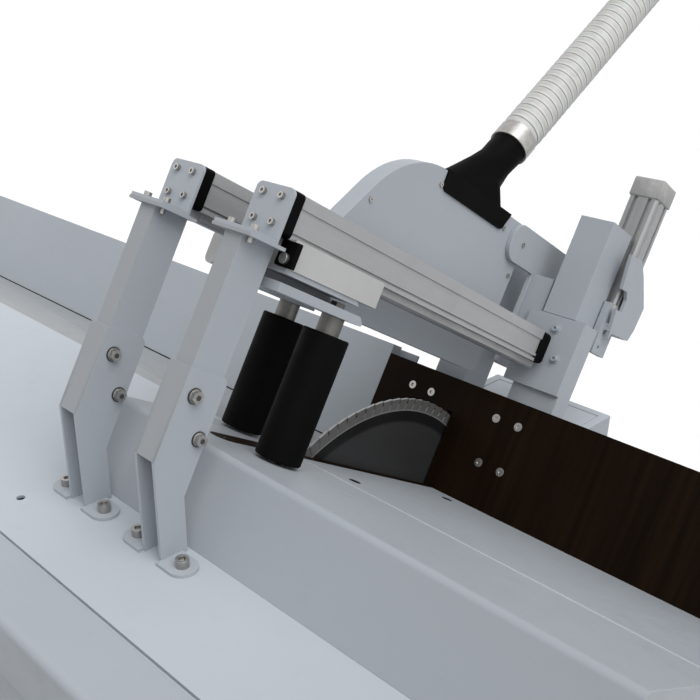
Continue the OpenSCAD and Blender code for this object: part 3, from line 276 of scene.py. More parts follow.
@named_material
def plated_steel(s, colour, rough=0.34, metal=0.9):
    """Zinc plating: cloudy grey with fine spangle."""
    near = s.place()
    cloud = s.noise(near, 120, 3, 0.6)
    base = s.tones(cloud, shade(colour, 0.82), shade(colour, 1.12), 0.3, 0.72)
    s.bump(s.noise(near, 900, 2), 0.00001, 0.4)
    s.finish(base, s.spread(cloud, rough - 0.06, rough + 0.14, 0.3, 0.75), Metallic=metal)


@named_material
def moulded(s, colour, rough=0.5, grain=0.00002, scale=1400, gloss=0.06):
    """Moulded plastic or rubber: fine grain, worn a little lighter in patches."""
    near = s.place()
    wear = s.noise(near, 26, 4, 0.62)
    base = s.tones(wear, colour, shade(colour, 1.9), 0.45, 0.8, 0.7)
    s.bump(s.noise(near, scale, 2), grain, 0.6)
    s.finish(base, s.spread(wear, rough - 0.05, rough + 0.14, 0.3, 0.75), Specular_IOR_Level=gloss)


@named_material
def film_board(s, colour):
    """Film-faced board: dark resin film with faint upright streaks and a pressed mesh."""
    streak = s.noise(s.place((-LEAN, 0, 0), (1, 1, 0.035)), 95, 4, 0.6)
    broad = s.noise(s.place((-LEAN, 0, 0), (1, 1, 0.12)), 11, 3, 0.55)
    base = s.ramp(streak, [(0.30, shade(colour, 0.62)), (0.52, colour),
                           (0.74, shade(colour, 1.75))])
    base = s.tones(broad, base, shade(colour, 1.5), 0.42, 0.75, 0.55)
    s.bump(streak, 0.00004, 0.5)
    s.bump(s.noise(s.place(), 700, 1), 0.00002, 0.5)
    s.finish(base, s.spread(streak, 0.50, 0.68), Specular_IOR_Level=0.05)


@named_material
def blade_steel(s):
    """Saw plate: dark turned body, a band of painted shade near the rim, a painted highlight line
    and a lighter tooth ring.
    """
    coords = s.add("ShaderNodeTexCoord")
    away = s.add("ShaderNodeVectorMath", {0: coords.outputs["Object"],
                                          1: tuple(head(*BLADE_CENTRE))}, operation="SUBTRACT")
    parts = s.add("ShaderNodeSeparateXYZ", {0: away.outputs[0]})
    squares = [s.maths("MULTIPLY", part, part) for part in parts.outputs[1:]]
    radius = s.maths("SQRT", s.maths("ADD", *squares))
    spread = s.add("ShaderNodeCombineXYZ", {0: radius})
    rings = s.noise(spread.outputs[0], 2400, 2)
    patch = s.noise(s.place(), 14, 3)
    place = s.spread(radius, 0, 1, BLADE_RADIUS - 0.050, BLADE_RADIUS)
    body = s.tones(rings, (0.042, 0.042, 0.043), (0.062, 0.062, 0.063))
    # Painted shade: a darker band on the body just inside the tooth ring
    body = s.mix(s.mask(place, 0.20, 0.30), body, (0.016, 0.016, 0.016))
    ring = s.tones(rings, (0.150, 0.148, 0.142), (0.190, 0.188, 0.182))
    base = s.mix(s.mask(place, 0.604, 0.612), body, ring)
    # Painted highlight: a thin bright line on the inner edge of the tooth ring
    base = s.mix(s.mask(place, 0.604, 0.612, 0.640, 0.652), base, (0.30, 0.30, 0.295))
    s.bump(rings, 0.00001, 0.6)
    s.finish(base, s.spread(patch, 0.34, 0.46), Metallic=0.35, Specular_IOR_Level=0.35)


@named_material
def hose_wall(s, colour):
    """Clear-grey hose wall with a thin dark wire on each crest and painted shade in the valleys
    between the ribs, read from the hose's UV map.
    """
    uv = s.add("ShaderNodeUVMap", uv_map="hose")
    parts = s.add("ShaderNodeSeparateXYZ", {0: uv.outputs[0]})
    turn = s.maths("FRACT", parts.outputs[1])
    crest = s.maths("ABSOLUTE", s.maths("SUBTRACT", turn, 0.5))
    web = s.tones(s.noise(s.place(), 60, 3), shade(colour, 0.92), shade(colour, 1.08))
    base = s.mix(s.spread(crest, 1.0, 0.0, 0.045, 0.085), web, shade(colour, 0.30))
    # Painted shade: the valleys between the ribs are darkened
    base = s.tones(crest, base, shade(colour, 0.70), 0.40, 0.5, 0.30)
    s.bump(s.noise(s.place(), 500, 2), 0.00006, 0.5)
    s.finish(base, s.spread(s.noise(s.place(), 90, 3), 0.28, 0.44),
             Subsurface_Weight=0.12, Subsurface_Scale=0.01, Specular_IOR_Level=0.5)


# Finishes of the saw, and tones that follow the powder coat's colour

# Painted shade: the sloping table and saw bed get a slightly darker copy of the powder coat
SHADED_TABLE_TONE = 0.96
# Painted light: faces that look up get a lighter copy of the powder coat
TOP_LIGHT_TONE = 1.20
TUBE_TONE = 0.86
ACROSS_U, ACROSS_W = (60.0, 1.0, 60.0), (60.0, 60.0, 1.0)


def powder():
    return powder_coat("powder coat", tint("powder"))


def shaded_table_powder():
    return powder_coat("table coat", shade(tint("powder"), SHADED_TABLE_TONE))


# Powder coat with light painted in, for faces that look up
def top_lit_powder():
    return powder_coat("deck coat", shade(tint("powder"), TOP_LIGHT_TONE))


def satin():
    return brushed_metal("satin aluminium", tint("aluminium"), 0.40, 0.40, ACROSS_U, -LEAN)


def anodised():
    return brushed_metal("anodised cover", (0.49, 0.49, 0.482), 0.15, 0.50, (1.0, 1.0, 1.0),
                         depth=0.000004)


def drawn_tube():
    return brushed_metal("drawn tube", shade(tint("aluminium"), TUBE_TONE), 0.55, 0.36,
                         ACROSS_W, -LEAN)


def board_film():
    return film_board("film-faced board", tint("board"))


def zinc():
    return plated_steel("zinc plating", tint("steel"))


def black():
    return moulded("black moulding", (0.0020, 0.0020, 0.0020), gloss=0.035)


# Mesh helpers

def new_piece(name, mesh, body, material=None):
    """Links a mesh that is already in its place, and lets it ride on its body."""
    made = bpy.data.objects.new(name, mesh)
    bpy.context.scene.collection.objects.link(made)
    if material is not None:
        mesh.materials.clear()
        mesh.materials.append(material)
    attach(made, body)
    return made


def soft_shade(mesh, angle):
    """Smooth shading, with edges sharper than an angle in degrees kept sharp."""
    mesh.shade_smooth()
    mesh.set_sharp_from_angle(angle=math.radians(angle))


def mesh_from(shape, name, angle=None):
    """Turns a finished bmesh into a mesh whose faces look outwards."""
    bmesh.ops.recalc_face_normals(shape, faces=shape.faces)
    mesh = bpy.data.meshes.new(name)
    shape.to_mesh(mesh)
    shape.free()
    if angle is not None:
        soft_shade(mesh, angle)
    return mesh


# Corners of the CAD mesh nearer than this are one, and so are faces flatter than this many degrees
SAME_PLACE = 0.000004
SAME_FACE = 0.6

# Rounding of turned and drawn parts, whatever the settings say
SCREW_EDGE = 0.0004
SHAFT_EDGE = 0.0005
ROD_EDGE = 0.0006
COUPLING_EDGE = 0.001
BEAM_EDGE = 0.0012


def dressed(node, material, edge, limit=34, split=False):
    """A merged copy of a CAD node with rounded edges, which takes the node's place.

    Edges are rounded from the limit's angle on. Split cuts concave faces apart, for frames
    whose faces run round an opening."""
    mesh = NODES[node].data.copy()
    mesh.name = node + "_dressed"
    shape = bmesh.new()
    shape.from_mesh(mesh)
    bmesh.ops.remove_doubles(shape, verts=shape.verts, dist=SAME_PLACE)
    bmesh.ops.dissolve_limit(shape, angle_limit=math.radians(SAME_FACE), verts=shape.verts,
                             edges=shape.edges)
    if split:
        bmesh.ops.connect_verts_concave(shape, faces=shape.faces)
    shape.to_mesh(mesh)
    shape.free()
    for old in [a.name for a in mesh.attributes if a.name in ("custom_normal", "sharp_face")]:
        mesh.attributes.remove(mesh.attributes[old])
    soft_shade(mesh, limit)
    made = new_piece(mesh.name, mesh, BODY_OF_NODE[node], material)
    bevel = made.modifiers.new("Edges", "BEVEL")
    bevel.width = edge
    bevel.segments = 2
    bevel.limit_method = "ANGLE"
    bevel.angle_limit = math.radians(limit)
    bevel.miter_outer = "MITER_ARC"
    bevel.use_clamp_overlap = True
    flat = made.modifiers.new("Flat faces", "WEIGHTED_NORMAL")
    flat.keep_sharp = True
    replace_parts(made, node)
    return made


def coat_faces(made, material, way):
    """Gives the faces of a piece that look one way a material of their own."""
    made.data.materials.append(material)
    for face in made.data.polygons:
        if face.normal.dot(way) > 0.99:
            face.material_index = len(made.data.materials) - 1
    return made


def turned(name, outline, sides=32):
    """Mesh of revolution about Z from (radius, height) pairs that begin and end on the axis."""
    shape = bmesh.new()
    rings = []
    for radius, height in outline:
        if radius == 0:
            rings.append([shape.verts.new((0, 0, height))])
        else:
            angles = (2 * math.pi * k / sides for k in range(sides))
            rings.append([shape.verts.new((radius * math.cos(a), radius * math.sin(a), height))
                          for a in angles])
    for low, high in zip(rings, rings[1:]):
        for k in range(sides):
            n = (k + 1) % sides
            if len(low) == 1:
                shape.faces.new((low[0], high[n], high[k]))
            elif len(high) == 1:
                shape.faces.new((low[k], low[n], high[0]))
            else:
                shape.faces.new((low[k], low[n], high[n], high[k]))
    return mesh_from(shape, name, 32)


def extruded(name, outline, low, high):
    """Mesh of an outline in XY between two heights."""
    shape = bmesh.new()
    ends = [[shape.verts.new((x, y, z)) for x, y in outline] for z in (low, high)]
    for k in range(len(outline)):
        shape.faces.new((ends[0][k - 1], ends[0][k], ends[1][k], ends[1][k - 1]))
    for end in ends:
        shape.faces.new(end)
    return mesh_from(shape, name, 20)


def rounded_box(name, low, high, radius, steps=1):
    """Mesh of a box between two corners with rounded edges."""
    shape = bmesh.new()
    bmesh.ops.create_cube(shape, size=1)
    for v in shape.verts:
        v.co = Vector(tuple(low[i] + (v.co[i] + 0.5) * (high[i] - low[i]) for i in range(3)))
    bmesh.ops.bevel(shape, geom=list(shape.edges), offset=radius, segments=steps,
                    affect="EDGES", profile=0.5)
    return mesh_from(shape, name, 40)


# Geometry Nodes for what repeats

def repeat_group(name, sockets=()):
    """A node group that puts a part on points, makes the copies real and paints them.

    Returns the group, its input node, and the nodes whose points and rotation are still open."""
    tree = bpy.data.node_groups.new(name, "GeometryNodeTree")
    for socket, kind in (("Geometry", "Geometry"), ("Part", "Object"), *sockets,
                         ("Material", "Material")):
        tree.interface.new_socket(socket, in_out="INPUT", socket_type="NodeSocket" + kind)
    tree.interface.new_socket("Geometry", in_out="OUTPUT", socket_type="NodeSocketGeometry")
    add, link = tree.nodes.new, tree.links.new
    inputs, outputs = add("NodeGroupInput"), add("NodeGroupOutput")
    part = add("GeometryNodeObjectInfo")
    spin = add("FunctionNodeEulerToRotation")
    put = add("GeometryNodeInstanceOnPoints")
    real = add("GeometryNodeRealizeInstances")
    paint = add("GeometryNodeSetMaterial")
    link(inputs.outputs["Part"], part.inputs["Object"])
    link(part.outputs["Geometry"], put.inputs["Instance"])
    link(spin.outputs[0], put.inputs["Rotation"])
    link(put.outputs[0], real.inputs[0])
    link(real.outputs[0], paint.inputs["Geometry"])
    link(inputs.outputs["Material"], paint.inputs["Material"])
    link(paint.outputs[0], outputs.inputs[0])
    return tree, inputs, put, spin


def repeat_tree():
    """Puts a part on every point of the base mesh, turned by the point's own attribute."""
    tree = bpy.data.node_groups.get("Repeat on points")
    if tree:
        return tree
    tree, inputs, put, spin = repeat_group("Repeat on points")
    turn = tree.nodes.new("GeometryNodeInputNamedAttribute")
    turn.data_type = "FLOAT_VECTOR"
    turn.inputs["Name"].default_value = "turn"
    tree.links.new(inputs.outputs["Geometry"], put.inputs["Points"])
    tree.links.new(turn.outputs["Attribute"], spin.inputs[0])
    return tree


def ring_tree():
    """Puts a part round a circle in XY, its own X pointing outwards."""
    tree, inputs, put, spin = repeat_group("Repeat on a ring",
                                           (("Count", "Int"), ("Radius", "Float")))
    add, link = tree.nodes.new, tree.links.new
    circle = add("GeometryNodeMeshCircle")
    index = add("GeometryNodeInputIndex")
    share, angle = add("ShaderNodeMath"), add("ShaderNodeMath")
    share.operation = "DIVIDE"
    angle.operation = "MULTIPLY"
    angle.inputs[1].default_value = 2 * math.pi
    vector = add("ShaderNodeCombineXYZ")
    link(inputs.outputs["Count"], circle.inputs["Vertices"])
    link(inputs.outputs["Radius"], circle.inputs["Radius"])
    link(circle.outputs[0], put.inputs["Points"])
    link(index.outputs[0], share.inputs[0])
    link(inputs.outputs["Count"], share.inputs[1])
    link(share.outputs[0], angle.inputs[0])
    link(angle.outputs[0], vector.inputs[2])
    link(vector.outputs[0], spin.inputs[0])
    return tree


def grown(name, base, tree, body, part_mesh, place=None, **values):
    """Runs a tree on a base mesh and keeps the result as a plain mesh piece."""
    carrier, part = (bpy.data.objects.new(name + end, mesh)
                     for end, mesh in (("_base", base), ("_part", part_mesh)))
    for helper in (carrier, part):
        bpy.context.scene.collection.objects.link(helper)
    modifier = carrier.modifiers.new("Repeat", "NODES")
    modifier.node_group = tree
    sockets = {s.name: s.identifier for s in tree.interface.items_tree if s.in_out == "INPUT"}
    for key, value in {"Part": part, **values}.items():
        modifier[sockets[key]] = value
    bpy.context.view_layer.update()
    evaluated = carrier.evaluated_get(bpy.context.evaluated_depsgraph_get())
    mesh = bpy.data.meshes.new_from_object(evaluated)
    mesh.name = name
    if place is not None:
        mesh.transform(place)
    for helper in (carrier, part):
        bpy.data.objects.remove(helper)
    if "turn" in mesh.attributes:
        mesh.attributes.remove(mesh.attributes["turn"])
    return new_piece(name, mesh, body)


def repeated(name, part_mesh, places, body, material):
    """Copies of a part on (point, euler) pairs, as one piece."""
    base = bpy.data.meshes.new(name + "_points")
    base.from_pydata([tuple(point) for point, _ in places], [], [])
    turn = base.attributes.new("turn", "FLOAT_VECTOR", "POINT")
    for item, (_, euler) in zip(turn.data, places):
        item.vector = euler
    return grown(name, base, repeat_tree(), body, part_mesh, Material=material)


def ringed(name, part_mesh, count, radius, place, body, material):
    """Copies of a part round a circle, put in place by a matrix, as one piece."""
    base = bpy.data.meshes.new(name + "_seed")
    base.from_pydata([(0, 0, 0)], [], [])
    return grown(name, base, ring_tree(), body, part_mesh, place, Count=count, Radius=radius,
                 Material=material)


# Hose: its neck in u and w of the head, and the rest of its route in y and z from the deck line

def level(point):
    """A place or a direction (u, w) of the leaning head as (y, z)."""
    return Vector((point[0] * math.cos(LEAN) + point[1] * math.sin(LEAN),
                   -point[0] * math.sin(LEAN) + point[1] * math.cos(LEAN)))


NECK = Vector((0.233, 0.536))
NECK_TILT = math.radians(28)
NECK_WAY = Vector((math.sin(NECK_TILT), math.cos(NECK_TILT)))
COLLAR = 0.028
HOSE_RUN = 0.360
HOSE_RISE = Vector((0.980, 0.750))
HOSE_END = Vector((0.980, 0.960))
BEND_PULL = 0.090
RUN_STEPS, BEND_STEPS, RISE_STEPS = 30, 42, 17

# Its wall: depth and form of the ribs, thickness, and the length at either end where ribs fade
RIB_DEPTH = 0.0025
RIB_SHAPE = 2.6
WALL = 0.0055
PLAIN_END = 0.012
HOSE_SIDES = 36
RINGS_PER_TURN = 8


def hose_route():
    """Points of the hose's axis in the row frame: straight, one bend, straight up."""
    start, way = level(NECK + COLLAR * NECK_WAY), level(NECK_WAY)
    knee = start + HOSE_RUN * way
    pull = Vector((0, BEND_PULL))
    flat = [start + way * HOSE_RUN * k / RUN_STEPS for k in range(RUN_STEPS)]
    for k in range(BEND_STEPS):
        t = k / BEND_STEPS
        flat.append((1 - t) ** 3 * knee + 3 * (1 - t) ** 2 * t * (knee + BEND_PULL * way)
                    + 3 * (1 - t) * t * t * (HOSE_RISE - pull) + t ** 3 * HOSE_RISE)
    flat += [HOSE_RISE + (HOSE_END - HOSE_RISE) * k / RISE_STEPS for k in range(RISE_STEPS + 1)]
    return [Vector((HEAD_ORIGIN.x, HEAD_ORIGIN.y + p.x, HEAD_ORIGIN.z + p.y)) for p in flat]


def path_length(points):
    return sum((b - a).length for a, b in zip(points, points[1:]))


def along(points, distance):
    """Point and direction at a distance along a polyline."""
    for a, b in zip(points, points[1:]):
        step = (b - a).length
        if distance <= step or b is points[-1]:
            break
        distance -= step
    return a + (b - a) * (distance / step), (b - a).normalized()


def rib_drop(phase):
    """Drop below the rib's top as a share of its depth: round ribs, narrow valleys."""
    return (abs((phase % 1.0) - 0.5) * 2) ** RIB_SHAPE


def hose_mesh(points, total):
    """Wall of the hose with a rib that winds round it, and a UV map that counts its turns."""
    outer = sizes().hose_diameter / 2
    pitch = sizes().rib_pitch
    rings = int(total / pitch * RINGS_PER_TURN)
    side = Vector((1, 0, 0))
    shape = bmesh.new()
    uv = shape.loops.layers.uv.new("hose")
    skins = ([], [])
    for inner, skin in enumerate(skins):
        for k in range(rings + 1):
            run = total * k / rings
            centre, way = along(points, run)
            up = way.cross(side)
            fade = min(1.0, run / PLAIN_END, (total - run) / PLAIN_END)
            ring = []
            for j in range(HOSE_SIDES):
                a = 2 * math.pi * j / HOSE_SIDES
                crest = 1 - rib_drop(run / pitch + j / HOSE_SIDES)
                r = outer - (WALL if inner else RIB_DEPTH * (1 - fade * crest))
                ring.append(shape.verts.new(centre + (side * math.cos(a) + up * math.sin(a)) * r))
            skin.append(ring)
    for inner, skin in enumerate(skins):
        turn = -1 if inner else 1
        for k in range(rings):
            for j in range(HOSE_SIDES):
                n = (j + 1) % HOSE_SIDES
                quad = (skin[k][j], skin[k][n], skin[k + 1][n], skin[k + 1][j])
                corners = ((k, j), (k, j + 1), (k + 1, j + 1), (k + 1, j))
                face = shape.faces.new(quad[::turn])
                for loop, (kk, jj) in zip(face.loops, corners[::turn]):
                    share = jj / HOSE_SIDES
                    loop[uv].uv = (share, total * kk / rings / pitch + share)
    for k in (0, rings):
        for j in range(HOSE_SIDES):
            n = (j + 1) % HOSE_SIDES
            shape.faces.new((skins[0][k][j], skins[1][k][j], skins[1][k][n], skins[0][k][n]))
    mesh = mesh_from(shape, "suction_hose_ribbed")
    mesh.shade_smooth()
    return mesh


class CRS_OT_hose(bpy.types.Operator):
    """Suction hose with its wire helix, and the coupling at its far end"""
    bl_idname = "crs.hose"
    bl_label = "Suction hose"

    def execute(self, context):
        points = hose_route()
        total = path_length(points)
        hose = new_piece("suction_hose_ribbed", hose_mesh(points, total),
                         BODY_OF_NODE["suction_hose"], hose_wall("hose wall", tint("hose")))
        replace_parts(hose, "suction_hose")
        coupling = dressed("hose_coupling", zinc(), COUPLING_EDGE)
        [tuple(p) for p in points]
        return {"FINISHED"}


# Shelf over the source's open tray, between two corners in the row frame
TRAY_SHELF = ((0.4172, 0.4022, 0.7600), (0.6328, 0.5018, 0.7668))

# A pressed louvre: profile in y and z, half of its width, and how far its ends stand in
LOUVRE_PROFILE = ((0.0, 0.0), (-0.0055, 0.002), (-0.0075, 0.007), (-0.0055, 0.0105), (0.0, 0.016))
LOUVRE_HALF = 0.095
LOUVRE_END = 0.006
# Louvres on the door: outer face of its sheet, then from its sides, from its foot, and apart
DOOR_FACE = -0.5765
LOUVRE_ASIDE = 0.30
LOUVRE_UP = 0.12
LOUVRE_PITCH = 0.026


def louvre_mesh():
    """One pressed louvre, closed at its back."""
    shape = bmesh.new()
    last = len(LOUVRE_PROFILE) - 1
    rows = []
    for k, (y, z) in enumerate(LOUVRE_PROFILE):
        half = LOUVRE_HALF - (0 if k in (0, last) else LOUVRE_END)
        rows.append([shape.verts.new((x, y, z)) for x in (-half, half)])
    for a, b in zip(rows, rows[1:]):
        shape.faces.new((a[0], a[1], b[1], b[0]))
    shape.faces.new([row[0] for row in rows])
    shape.faces.new([row[1] for row in rows][::-1])
    shape.faces.new((rows[last][0], rows[last][1], rows[0][1], rows[0][0]))
    return mesh_from(shape, "louvre")


class CRS_OT_cabinet(bpy.types.Operator):
    """Cabinet, frame, rear deck, door with louvres, feet and infeed stand"""
    bl_idname = "crs.cabinet"
    bl_label = "Cabinet"

    def execute(self, context):
        edge = sizes().edge
        for node in ("side_panels", "rear_panel", "cabinet_door", "infeed_stand"):
            dressed(node, powder(), edge, split=True)
        for node in ("rear_deck", "base_frame"):
            made = dressed(node, powder(), edge, split=node == "base_frame")
            # Painted light: faces that look up, and the tray shelf, get the lighter top coat
            coat_faces(made, top_lit_powder(), UPWARD)
        new_piece("tray_shelf", rounded_box("tray_shelf", *TRAY_SHELF, 0.001), "base",
                  top_lit_powder())
        dressed("door_latch", black(), sizes().casting_edge)
        dressed("levelling_feet", zinc(), edge)
        low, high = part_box("cabinet_door")
        places = [((x, DOOR_FACE, low.z + LOUVRE_UP + LOUVRE_PITCH * k), (0, 0, 0))
                  for x in (low.x + LOUVRE_ASIDE, high.x - LOUVRE_ASIDE)
                  for k in range(sizes().louvres)]
        repeated("door_louvres", louvre_mesh(), places, BODY_OF_NODE["cabinet_door"], powder())
        return {"FINISHED"}


# Places of the slots in the sloping table, as (x, u), and the outline of the black disc painted in
# each as the shade inside the slot
TABLE_SLOTS = ((0.099, 0.051), (0.086, 0.309))
SLOT_SHADE_OUTLINE = ((0, -0.0008), (0.0085, -0.0008), (0.0085, 0.0003), (0.0078, 0.0006), (0, 0.0006))
# Strips painted along the seam of the saw bed as its highlight and at the foot of the fence board
# as its shadow line, between corners in the head's own axes
BED_SEAM_HIGHLIGHT = ((-0.1195, 0.0116, -0.002), (0.6295, 0.0128, 0.0009))
FENCE_FOOT_SHADE = ((-1.669, 0.3532, 0.0002), (-0.1590, 0.3552, 0.0022))


class CRS_OT_table(bpy.types.Operator):
    """Flat deck, wedge, saw bed, kerf insert and fences"""
    bl_idname = "crs.table"
    bl_label = "Table and fence"

    def execute(self, context):
        edge = sizes().edge
        for node in ("front_apron", "infeed_fence"):
            dressed(node, powder(), edge)
        # Painted light: the deck's faces that look up get the lighter top coat
        deck = coat_faces(dressed("deck_sheet", powder(), edge), top_lit_powder(), UPWARD)
        # Painted shade: the deck's faces that slope with the table get a darker copy of the powder
        # coat
        coat_faces(deck, powder_coat("slope coat", (0.345, 0.362, 0.378)), ALONG_W)
        # Painted shade: the wedge and saw bed get the darker table coat
        for node in ("wedge_table", "saw_bed"):
            dressed(node, shaded_table_powder(), sizes().casting_edge * 0.7)
        # Painted shade: black discs stand for the dark inside of the table's slots
        repeated("table_plugs", turned("table_plug", SLOT_SHADE_OUTLINE),
                 [(head(x, u, 0), (-LEAN, 0, 0)) for x, u in TABLE_SLOTS], "base", black())
        # Painted highlight: a light strip along the saw bed's seam; painted shadow: a black strip
        # at the foot of the fence board
        seam_highlight_paint = powder_coat("seam edge", (0.56, 0.58, 0.60))
        for name, corners, paint in (("bed_seam", BED_SEAM_HIGHLIGHT, seam_highlight_paint),
                                     ("fence_seal", FENCE_FOOT_SHADE, black())):
            strip = rounded_box(name, *corners, 0.0003)
            strip.transform(HEAD_MATRIX)
            new_piece(name, strip, "base", paint)
        dressed("kerf_insert", board_film(), edge * 0.6)
        dressed("fence_board", board_film(), edge * 0.8)
        dressed("fence_screws", zinc(), SCREW_EDGE)
        dressed("table_screws", zinc(), SCREW_EDGE)
        return {"FINISHED"}


# Middles of the two beams, the bolts under each as (u, w), and a roller's u at rest
BEAM_X = {"left": -0.070, "right": 0.087}
POST_BOLTS = ((-0.280, 0.056), (-0.252, 0.011))
ROLLER_U = {"left": -0.016, "right": -0.098}

# Details on those bolts: name, outline, sides, and how far they stand from the beam's middle. The
# dark hexagon on each head is painted shade for its hex socket
POST_DETAILS = (
    ("bolt_washer", ((0, 0), (0.0093, 0), (0.0093, 0.0014), (0, 0.0014)), 32, 0.018),
    ("bolt_socket", ((0, -0.001), (0.0034, -0.001), (0.0034, 0.0003), (0, 0.0003)), 6, 0.026),
)


class CRS_OT_posts(bpy.types.Operator):
    """Posts, brackets and their bolts"""
    bl_idname = "crs.posts"
    bl_label = "Posts"

    def execute(self, context):
        edge = sizes().edge
        front = powder_coat("post front", (0.350, 0.366, 0.384))
        for node in ("post_forks", "post_channels"):
            coat_faces(dressed(node, powder(), edge), front, -ALONG_U)
        dressed("beam_brackets", powder(), edge)
        dressed("post_bolts", zinc(), SCREW_EDGE)
        # The dark colour serves the washers, and is painted as shade in the hex sockets
        dark = plated_steel("dark washer", (0.07, 0.07, 0.068), 0.4, 0.6)
        for name, outline, sides, aside in POST_DETAILS:
            places = [(head(beam + aside, u, w), (0, math.pi / 2, 0))
                      for beam in BEAM_X.values() for u, w in POST_BOLTS]
            repeated("post_" + name + "s", turned(name, outline, sides), places, "base", dark)
        dressed("bracket_screws", zinc(), SCREW_EDGE)
        return {"FINISHED"}


class CRS_OT_beams(bpy.types.Operator):
    """Roller beams with their rails, end caps and shelves"""
    bl_idname = "crs.beams"
    bl_label = "Roller beams"

    def execute(self, context):
        dressed("roller_beams", satin(), BEAM_EDGE)
        dressed("beam_caps", black(), sizes().casting_edge * 0.7)
        dressed("beam_shelves", powder(), sizes().edge)
        return {"FINISHED"}


# Outline of the screw in a carriage's end, and its place from the beam's middle and the roller
END_SCREW = ((0, -0.002), (0.0063, -0.002), (0.0063, 0.0036), (0.0057, 0.0043),
             (0.0034, 0.0043), (0.0034, 0.0041), (0, 0.0041))
END_SCREW_X, END_SCREW_U, END_SCREW_W = 0.030, -0.142, 0.229


class CRS_OT_carriages(bpy.types.Operator):
    """Carriages with their end screws, and the arms and shafts of the rollers"""
    bl_idname = "crs.carriages"
    bl_label = "Roller carriages"

    def execute(self, context):
        upright = Matrix.Rotation(math.pi / 2 - LEAN, 4, "X")
        for side in ("left", "right"):
            dressed(side + "_carriage", anodised(), sizes().edge)
            dressed(side + "_carriage_end", black(), sizes().casting_edge * 0.6)
            dressed(side + "_roller_arm", powder(), sizes().edge)
            place = head(BEAM_X[side] + END_SCREW_X, ROLLER_U[side] + END_SCREW_U, END_SCREW_W)
            screw = turned(side + "_end_screw", END_SCREW)
            screw.transform(Matrix.Translation(place) @ upright)
            new_piece(side + "_end_screw", screw, BODY_OF_NODE[side + "_carriage"],
                      plated_steel("dark screw", (0.20, 0.20, 0.195), 0.36, 0.7))
            dressed(side + "_roller_shaft",
                    plated_steel("turned shaft", (0.17, 0.165, 0.155), 0.36, 0.5), SHAFT_EDGE)
        return {"FINISHED"}


class CRS_OT_rollers(bpy.types.Operator):
    """Rubber rollers with rounded ends"""
    bl_idname = "crs.rollers"
    bl_label = "Rollers"

    def execute(self, context):
        rubber = moulded("roller rubber", tint("rubber"), 0.62, 0.00003, 900)
        for side in ("left", "right"):
            dressed(side + "_roller", rubber, ROD_EDGE)
        return {"FINISHED"}


# One face of the drawn cylinder tube with its two sensor grooves, as places along the face
# and distances from the axis
TUBE_FACE = ((-0.0215, 0.025), (-0.0155, 0.025), (-0.0145, 0.021), (-0.0105, 0.021),
             (-0.009, 0.0246), (0, 0.0253), (0.009, 0.0246), (0.0105, 0.021),
             (0.0145, 0.021), (0.0155, 0.025), (0.0215, 0.025))
# Its axis in x and u, the heights w of the tube, and the caps: half width, height and feet
TUBE_AXIS = (0.117, 0.500, 0)
TUBE_SPAN = (0.388, 0.572)
CAP_HALF = 0.027
CAP_HEIGHT = 0.033
CAP_FEET = {"lower": 0.356, "upper": 0.571}


def turned_corner(t, d, face):
    """A corner of the tube's outline, its face turned by a number of quarter turns."""
    for _ in range(face):
        t, d = d, -t
    return t, d


class CRS_OT_columns(bpy.types.Operator):
    """Columns, cover, lift mount, lift cylinder and the hood's rail"""
    bl_idname = "crs.columns"
    bl_label = "Columns and lift"

    def execute(self, context):
        for node in ("left_column", "right_column", "column_cover", "lift_mount"):
            dressed(node, powder(), sizes().edge)
        place = HEAD_MATRIX @ Matrix.Translation(TUBE_AXIS)
        outline = [turned_corner(t, d, face) for face in range(4) for t, d in TUBE_FACE]
        tube = extruded("lift_cylinder_tube", outline, *TUBE_SPAN)
        tube.transform(place)
        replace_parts(new_piece("lift_cylinder_tube", tube, "base", drawn_tube()), "lift_cylinder")
        cast = moulded("cylinder caps", (0.33, 0.33, 0.322), 0.45, gloss=0.3)
        for end, foot in CAP_FEET.items():
            name = "lift_cylinder_cap_" + end
            cap = rounded_box(name, (-CAP_HALF, -CAP_HALF, foot),
                              (CAP_HALF, CAP_HALF, foot + CAP_HEIGHT), 0.003, 3)
            cap.transform(place)
            new_piece(name, cap, "base", cast)
        dressed("hood_rail", zinc(), SCREW_EDGE)
        dressed("lift_rod", zinc(), ROD_EDGE)
        return {"FINISHED"}


class CRS_OT_hood(bpy.types.Operator):
    """Blade hood with its arm, slider, screws and suction nozzle"""
    bl_idname = "crs.hood"
    bl_label = "Hood and nozzle"

    def execute(self, context):
        edge = sizes().edge
        dressed("hood_shell", powder(), edge * 0.7)
        dressed("hood_arm", powder(), edge)
        dressed("hood_slider", powder(), edge)
        dressed("hood_screws", zinc(), SCREW_EDGE)
        dressed("suction_nozzle", black(), sizes().casting_edge * 0.5, limit=38)
        dressed("suction_spigot", zinc(), SHAFT_EDGE)
        return {"FINISHED"}


# Saw plate: corners of one tooth as turn in shares of the pitch and drop below the tip circle,
# and the same for the ring of corners that closes its gullets
TOOTH = ((0.0, 0.0), (0.86, 0.0012), (1.14, 0.0175), (1.22, 0.0185))
ROOT_TURN, ROOT_DROP = 0.22, 0.0215
BORE_RADIUS = 0.0151
PLATE_THICK = 0.004
# A carbide tip between two corners, in axes that begin on its circle and look outwards
TIP = ((-0.0075, -0.0016, -0.0021), (0.0004, 0.0016, 0.0021))
TIP_CIRCLE = 0.2995


